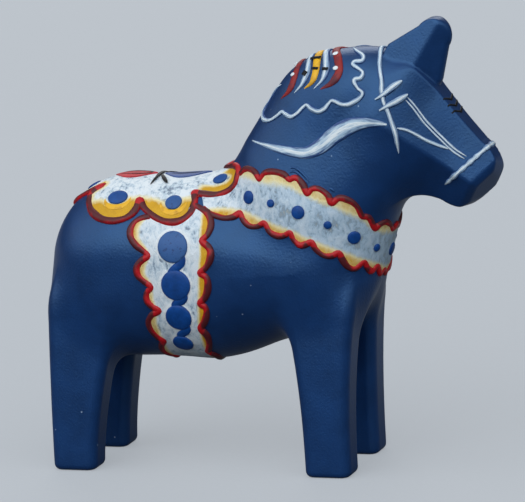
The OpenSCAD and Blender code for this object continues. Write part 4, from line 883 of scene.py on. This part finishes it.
# Breast band: a scalloped white strap from the saddle round the chest, between two red rims, with plain blue
# dots, large and small in turn, along its middle, a small white gusset behind it and bare relief lines above.
# Moulded and painted like the saddle. Its edges are degrees from the chest's middle, and mm above CHEST_Z.
band_upper = [[0, 6.4], [5, 5.9], [8.5, 6.9], [13, 7.6], [17, 7.4], [20, 7], [24.5, 9], [28.5, 9.5],
              [31.5, 11.2], [35, 12.3], [40, 12.9], [44.3, 12.1], [46, 13.4], [50, 14.4], [54.7, 14.5],
              [58.5, 13.7], [61, 15.1], [64.5, 16.1], [68.5, 16.2], [72, 15.9], [75.5, 16.5], [80, 16.9],
              [89.5, 17.1], [99.5, 16.8], [105.3, 15.7], [111, 16.7], [118, 17.1], [123.5, 16.8], [127, 16]]
band_lower = [[0, -2.1], [4.5, -1.2], [8.5, -1.7], [13.3, -0.1], [17.5, -0.7], [21, -0.1], [24.6, 1.2],
              [30.3, 0.3], [35, 0.8], [38.5, 2.1], [41, 3.4], [45.3, 3], [50.7, 3.2], [55.5, 4.3], [58, 5.5],
              [61.6, 5.2], [66.7, 5], [71.5, 5.9], [74, 7.1], [79.4, 6.6], [86, 6.5], [94.4, 7.2],
              [99.6, 8.5], [108, 7.9], [115.7, 7.9], [121.5, 8.7], [125, 9.8], [130, 9.2], [135, 9],
              [139.3, 9.3], [142.4, 9.7], [145.5, 10.4]]
CHEST_AXIS_X, CHEST_Z = 3.3, 35.7


def on_chest(angle, h):
    a = np.radians(np.minimum(angle, 90))
    behind = np.tan(np.radians(np.clip(angle - 90, 0, 80)))
    start = np.stack([CHEST_AXIS_X - (CHEST_AXIS_X - GIRTH_X) * 0.52 * behind, 0 * h, CHEST_Z + h], -1)
    toward = np.stack([np.cos(a) * CHEST[2], -np.sin(a) * TRUNK_HALF_WIDTH, 0 * h], -1)
    return skin(start, direction(toward))


def round_chest(places):
    q = smooth_line(places[::-1])
    return carried_over(on_chest(q[:, 0], q[:, 1]))


def both_halves(values):
    """Numbers for a grid that is carried over to the left side."""
    return np.concatenate([values, values[-2::-1]])


t = np.linspace(0, 1, 260)[:, None]
s = np.linspace(0, 1, 44)[None, :]
upper_angle, lower_angle = 127 * (1 - t), 134 * (1 - t)
h = mix(edge_at(band_upper, upper_angle) - 0.2, edge_at(band_lower, lower_angle) + 0.2, s)
band = carried_over(on_chest(mix(upper_angle, lower_angle, s), h))
cusps_high = np.interp(upper_angle, [5, 20, 28.5, 44.3, 58.5, 72, 105.3, 127],
                       [5.9, 7.0, 9.5, 12.1, 13.7, 15.3, 15.7, 16.0])
cusps_low = np.interp(lower_angle, [4.5, 13.3, 24.6, 41, 58, 74, 99.6, 125, 145],
                      [-1.2, -0.1, 1.2, 3.4, 5.5, 7.1, 8.5, 9.8, 10.4])
crowns = np.maximum(0.5 * ease((h - cusps_high + 1.3) / 1.8), 0.66 * ease((cusps_low + 1.2 - h) / 1.7))
# The band's cool blue tint is strongest at the middle of the chest and fades towards its back end.
tint = np.interp(mix(upper_angle, lower_angle, s), [0, 30, 60, 100, 130], [1.3, 1.15, 0.95, 0.75, 0.45])
piece = plate("breast_band_white", [band], COAT, white_field,
              [("gild", [both_halves(crowns)]), ("wash", [both_halves(tint)])])
take_place(piece, "white_field_paint", "breast_band_field")

gusset_angle = np.linspace(145, 127.5, 60)[:, None]
gusset_top = np.interp(gusset_angle, [127, 134, 145], [15.5, 13.2, 12.4])
s = np.linspace(0, 1, 24)[None, :]
h = mix(gusset_top, edge_at(band_lower, gusset_angle) + 0.2, s)
gusset = on_chest(gusset_angle + 0 * s + mix(2, 0, s), h)
swell = 0.8 * ease((cusps_low[0, 0] + 0.9 - h) / 1.4)
wash = np.full(swell.shape, 0.3)
piece = plate("breast_band_gussets_white", [gusset, flip(gusset)], COAT * 0.9, white_field,
              [("gild", [swell, swell]), ("wash", [wash, wash])])
take_place(piece, "white_field_paint", "breast_band_gussets")
red_rim("breast_band_rim_upper", round_chest(band_upper), 1.15, 4, 1)
red_rim("breast_band_rim_lower", round_chest(band_lower), 1.15, 5, -1)

bare_lines = []
for places in ([[72, 17.0], [69, 17.3], [65.5, 17.2], [62, 16.6], [59, 15.8], [57, 15.2]],
               [[71, 17.7], [68, 17.9], [64.5, 17.7], [61, 17.1], [58, 16.3], [56, 15.6]],
               [[45, 14.6], [43.5, 14.4], [42.3, 13.9]]):
    q = smooth_line(places)
    path = on_chest(q[:, 0], q[:, 1])
    for _, turn in SIDES:
        bare_lines.append((flip(path, turn), 0.5 * np.sin(np.linspace(0.25, math.pi - 0.25, len(q))), 0))
piece = ridge("breast_band_bare_relief", bare_lines, blue_paint, 0.7)
take_place(piece, "blue_paint")

dot_angles = np.array([117.0, 91, 66.5, 47.3, 32, 16.8, 0])
spots = on_chest(dot_angles, (edge_at(band_upper, dot_angles) + edge_at(band_lower, dot_angles)) / 2)
large_dot, small_dot = 1.15, 0.69
dot_radii = [large_dot, small_dot] * 3 + [large_dot]
piece = dots("breast_band_dots_blue", np.concatenate([spots, flip(spots[:-1])]), dot_radii + dot_radii[:-1],
             bead_blue, 0.4)
take_place(piece, "bead_blue_paint", "breast_band_dots")


# Crest: a scalloped white cord on each side of the neck, and five strokes over the top of the crest, in
# dull red, white and yellow, like a painted mane; all brush strokes over a moulded line. Places are
# degrees up from the front, and out from the middle, as seen from the crest's centre.
def on_crest(q):
    up, out = np.radians(q[:, 0]), np.radians(q[:, 1])
    start = np.broadcast_to([CREST[0], 0.0, CREST[1]], (len(q), 3))
    return skin(start, np.stack([np.cos(out) * np.cos(up), -np.sin(out), np.cos(out) * np.sin(up)], -1))


# Brushed white cord: white dragged thinly along the crown of the line, in streaks of 1 to 3 mm; the blue
# coat shows along its flanks and wherever the brush ran dry.
white_cord, tree, shader = new_material("brushed_white_line")
across, along = (add(tree, "ShaderNodeAttribute", attribute_name=name).outputs["Fac"]
                 for name in ("across", "along"))
off = add(tree, "ShaderNodeMath", {0: across}, operation="ABSOLUTE")
stroke = add(tree, "ShaderNodeCombineXYZ", {"X": along, "Y": across})
drawn = add(tree, "ShaderNodeMapping", {"Vector": stroke.outputs["Vector"], "Scale": (0.3, 3.4, 1.0)})
streak = add(tree, "ShaderNodeTexNoise", {"Vector": drawn.outputs["Vector"], "Scale": 1.0, "Detail": 4.0,
                                          "Roughness": 0.65}).outputs["Fac"]
rubbed = add(tree, "ShaderNodeMath", {0: streak, 1: -2.0, 2: off.outputs["Value"]}, operation="MULTIPLY_ADD")
bare = add(tree, "ShaderNodeMapRange", {"Value": rubbed.outputs["Value"], "From Min": -1.1,
                                        "From Max": -0.05})
chalk = add(tree, "ShaderNodeValToRGB", {"Fac": bare.outputs["Result"]})
chalk.color_ramp.elements.new(0.5)
for stop, at, colour in zip(chalk.color_ramp.elements, (0.12, 0.5, 0.92),
                            ("#dbe5ea", "#9dbad2", "#25467e")):
    stop.position, stop.color = at, linear(colour)
bump = add(tree, "ShaderNodeBump", {"Height": streak, "Strength": 0.6, "Distance": 0.2 * MM})
feed(tree, shader, {"Base Color": chalk.outputs["Color"], "Roughness": 0.45,
                    "Normal": bump.outputs["Normal"]})

# Dull red acrylic of the mane strokes: a thin coat, so the blue below turns it to maroon in patches of
# about 1 mm.
dull_red, tree, shader = new_material("dull_red_acrylic")
place = add(tree, "ShaderNodeTexCoord").outputs["Object"]
thin = add(tree, "ShaderNodeTexNoise", {"Vector": place, "Scale": 0.7 * PER_MM, "Detail": 4.0})
maroon = add(tree, "ShaderNodeValToRGB", {"Fac": thin.outputs["Fac"]})
for stop, at, colour in zip(maroon.color_ramp.elements, (0.32, 0.6), ("#5a2a35", "#8d2a2a")):
    stop.position, stop.color = at, linear(colour)
feed(tree, shader, {"Base Color": maroon.outputs["Color"], "Roughness": 0.45, "Specular IOR Level": 0.25})

crest_places = [[82, 2], [77.5, 8.5], [70.8, 13.6], [70, 17.6], [74.7, 18.7], [75, 21], [69.7, 23.1],
                [65, 24.7], [64.7, 28.1], [68.5, 29.8], [67.9, 32], [62.7, 34.2], [56.8, 35], [55.3, 37.6],
                [57.7, 42.1], [64.8, 47.5], [75.5, 49.3], [88.5, 47.3], [94.4, 49.6], [102.6, 53.4],
                [115.6, 53.7], [124.4, 47.9], [128, 41.6], [134.4, 40.8], [144.3, 40.5], [152.8, 37.4],
                [154.3, 31.2], [154.6, 27.3], [160.2, 25.2], [166, 21.5], [168.2, 16], [166.8, 9.7],
                [163.6, 5], [158.6, 4.4], [153.3, 4.4], [147.3, 5.4], [141, 9.2]]


def white_strokes(node, lines, height=0.7, lift=0.0):
    """The white brush strokes of one node, on raised lines."""
    piece = ridge(node + "_white", lines, white_cord, height, lift)
    take_place(piece, "white_cord_paint", node)


cord = on_crest(smooth_line(crest_places))
cord_width = 0.85 * hand(len(cord), 6, 0.2) * np.minimum(1, steps_to_end(len(cord)) / 8 + 0.2)
for side_name, turn in SIDES:
    white_strokes("crest_cord_" + side_name, [(flip(cord, turn), cord_width, 0)])


def petal(places, width, seed):
    side = np.array(places, float)
    line = smooth_line(np.concatenate([side, side[-2::-1] * [1, -1]]))
    t = np.linspace(0, 1, len(line))
    tips = np.minimum(1, np.minimum(t, 1 - t) / 0.2 + 0.06)
    return on_crest(line), width * tips * hand(len(line), seed, 0.06)


mane = [("rear_red", [[147.5, 19.1], [138, 20.9], [129.8, 17.7], [124.3, 10.3], [121, 0]], 1.35,
         dull_red, "red_paint"),
        ("rear_white", [[134, 25.7], [123.6, 24.5], [116.3, 19.6], [113.6, 13], [112, 0]], 1.3,
         white_cord, "white_cord_paint"),
        ("yellow", [[122.7, 28.2], [112.9, 27.2], [108, 21.5], [106.6, 13.7], [106.3, 0]], 1.4,
         yellow, "yellow_paint"),
        ("front_white", [[112.6, 32.9], [101.6, 29.5], [97.6, 22.7], [98.8, 13.2], [101, 0]], 1.3,
         white_cord, "white_cord_paint"),
        ("front_red", [[104.6, 35.8], [91.4, 33.7], [85.1, 27], [88.1, 16.7], [94, 0]], 1.5,
         dull_red, "red_paint")]
for number, (name, places, width, paint, slot) in enumerate(mane):
    piece = ridge("crest_petal_" + name, [(*petal(places, width, number), 0)], paint, 0.5)
    take_place(piece, slot, "crest_petal_" + name)
specks = on_crest(np.array([[127.5, 13.4], [124.0, 4.5], [88.0, 23.6], [91.5, 10.6]]))
piece = dots("crest_petal_specks_white", np.concatenate([specks, flip(specks)]), [0.34, 0.3, 0.38, 0.42] * 2,
             white_cord, 0.16, 1.25, 0.36)
take_place(piece, "white_cord_paint")
bars = []
for _, turn in SIDES:
    for start, end, width in (((111, 8.8), (103, 10.6), 0.6), ((109.8, 17.6), (104.5, 19.6), 0.5),
                              ((100.2, 21.4), (95.0, 22.8), 0.55), ((115.5, 17.5), (118.5, 19.5), 0.9)):
        q = mix(np.array(start, float), np.array(end, float), np.linspace(0, 1, 9)[:, None])
        bars.append((flip(on_crest(q), turn), width, 0))
piece = ridge("crest_petal_bars_black", bars, black, 0.4, 0.42)
take_place(piece, "black_paint")


# Bridle: brush strokes on raised lines of the casting: the rein sweeps up the neck, the headstall goes
# over the poll behind the ears, and straps and a noseband cross the head; three dark ticks mark the brow.
def on_side(centre, q):
    start = np.stack([centre[0] + q[:, 0], 0 * q[:, 0], centre[1] + q[:, 1]], -1)
    return skin(start, np.broadcast_to([0.0, -1.0, 0.0], start.shape))


def on_head(q):
    cheek, muzzle = np.array(CHEEK[:2]), np.array(MUZZLE[:2])
    brow = direction(np.array([cheek[1] - muzzle[1], muzzle[0] - cheek[0]]))
    return on_side((0, 0), mix(cheek, muzzle, q[:, :1]) + brow * q[:, 1:2])


def tapered(n, width, seed, taper=0.1):
    t = np.linspace(0, 1, n)
    return width * hand(n, seed, 0.1) * np.minimum(1, np.minimum(t, 1 - t) / taper + 0.12)


headstall = smooth_line([[-11.6, 30.5], [-4.4, 32], [4.4, 33.2], [16.3, 33.6], [25.3, 32.9], [34.2, 32],
                         [39.8, 30.2], [44.6, 27.7], [49, 24.1], [53.9, 20.3], [58.8, 14.8], [63, 6],
                         [64.5, 0]])
poll = carried_over(on_crest(headstall))
white_strokes("headstall", [(poll, tapered(len(poll), 0.9, 7, 0.06), 0)])

# The rein's places are mm from the crest's centre, with its breadth as the third number.
rein = smooth_line([[-15.6, -0.7, 0.3], [-11.9, -1.1, 0.9], [-8.2, -1.6, 1.7], [-4.7, -1.85, 2.1],
                    [-2, -0.75, 2.8], [0.5, 1.15, 3.0], [3.1, 2.6, 2.75], [5.6, 3.15, 2.0], [7.9, 3.1, 1.25],
                    [9.5, 2.8, 0.5]])
buckles = [smooth_line([[-0.3, 3.75], [1.0, 4.5], [2.4, 5.6], [3.9, 6.6]], 8) + [0.1, -0.1],
           smooth_line([[0.4, 1.95], [1.6, 2.6], [3.2, 3.35], [4.8, 4.3]], 8) + [0.1, -0.1]]
cheek_strap = smooth_line([[0.1, 5.65], [0.22, 5.1], [0.38, 4.2], [0.51, 3.7], [0.63, 3.3], [0.78, 2.9],
                           [0.87, 2.8], [0.97, 2.9]])
rein_end = smooth_line([[0.21, 1.0], [0.29, 1.5], [0.38, 1.7], [0.52, 1.8], [0.65, 2.1], [0.78, 2.55]])
for side_name, turn in SIDES:
    rein_width = rein[:, 2] * hand(len(rein), 8, 0.05)
    white_strokes("rein_" + side_name, [(flip(on_side(CREST, rein), turn), rein_width, 0)], 0.26)
    lines = []
    for q in buckles:
        t = np.linspace(0, 1, len(q))
        swell = 1.15 * np.sin(math.pi * np.clip(t**1.5, 0.03, 0.97)) ** 0.6 + 0.1
        lines.append((flip(on_side(CHEEK, q), turn), swell, 0))
    white_strokes("buckle_strokes_" + side_name, lines, 0.55, 0.2)
    lines = [(flip(on_head(q), turn), tapered(len(q), width, seed), 0)
             for q, width, seed in ((cheek_strap + [0, 0.26], 0.5, 9), (cheek_strap - [0, 0.22], 0.45, 12),
                                    (rein_end, 0.65, 10))]
    white_strokes("cheek_strap_" + side_name, lines)

a = np.radians(np.linspace(-148, 148, 140))[:, None]
lean = math.radians(40)
nose = skin(np.broadcast_to([MUZZLE[0] + 1.1, 0.0, MUZZLE[1] + 1.0], (len(a), 3)),
            np.cos(a) * [math.cos(lean), 0, math.sin(lean)] + np.sin(a) * [0, 1, 0])
nose_width = tapered(len(nose), 0.95, 11, 0.05) * (1 + 0.18 * np.sin(np.arange(len(nose)) * 0.55))
white_strokes("noseband", [(nose, nose_width, 0)], 0.65)

ticks = []
y = np.linspace(-2.5, 2.5, 21)
brow = direction(np.array([CHEEK[1] - MUZZLE[1], 0, MUZZLE[0] - CHEEK[0]]))
tick_width = 0.5 * np.sin(np.linspace(0.2, math.pi - 0.2, len(y))) ** 0.4
for down_the_face in (0.46, 0.54, 0.62):
    share = down_the_face - 0.02 * np.abs(y)
    start = np.stack([mix(CHEEK[0], MUZZLE[0], share), y, mix(CHEEK[1], MUZZLE[1], share)], -1)
    ticks.append((skin(start, np.broadcast_to(brow, start.shape)), tick_width, 0))
piece = ridge("forehead_ticks_black", ticks, black, 0.4)
take_place(piece, "black_paint", "forehead_mark")
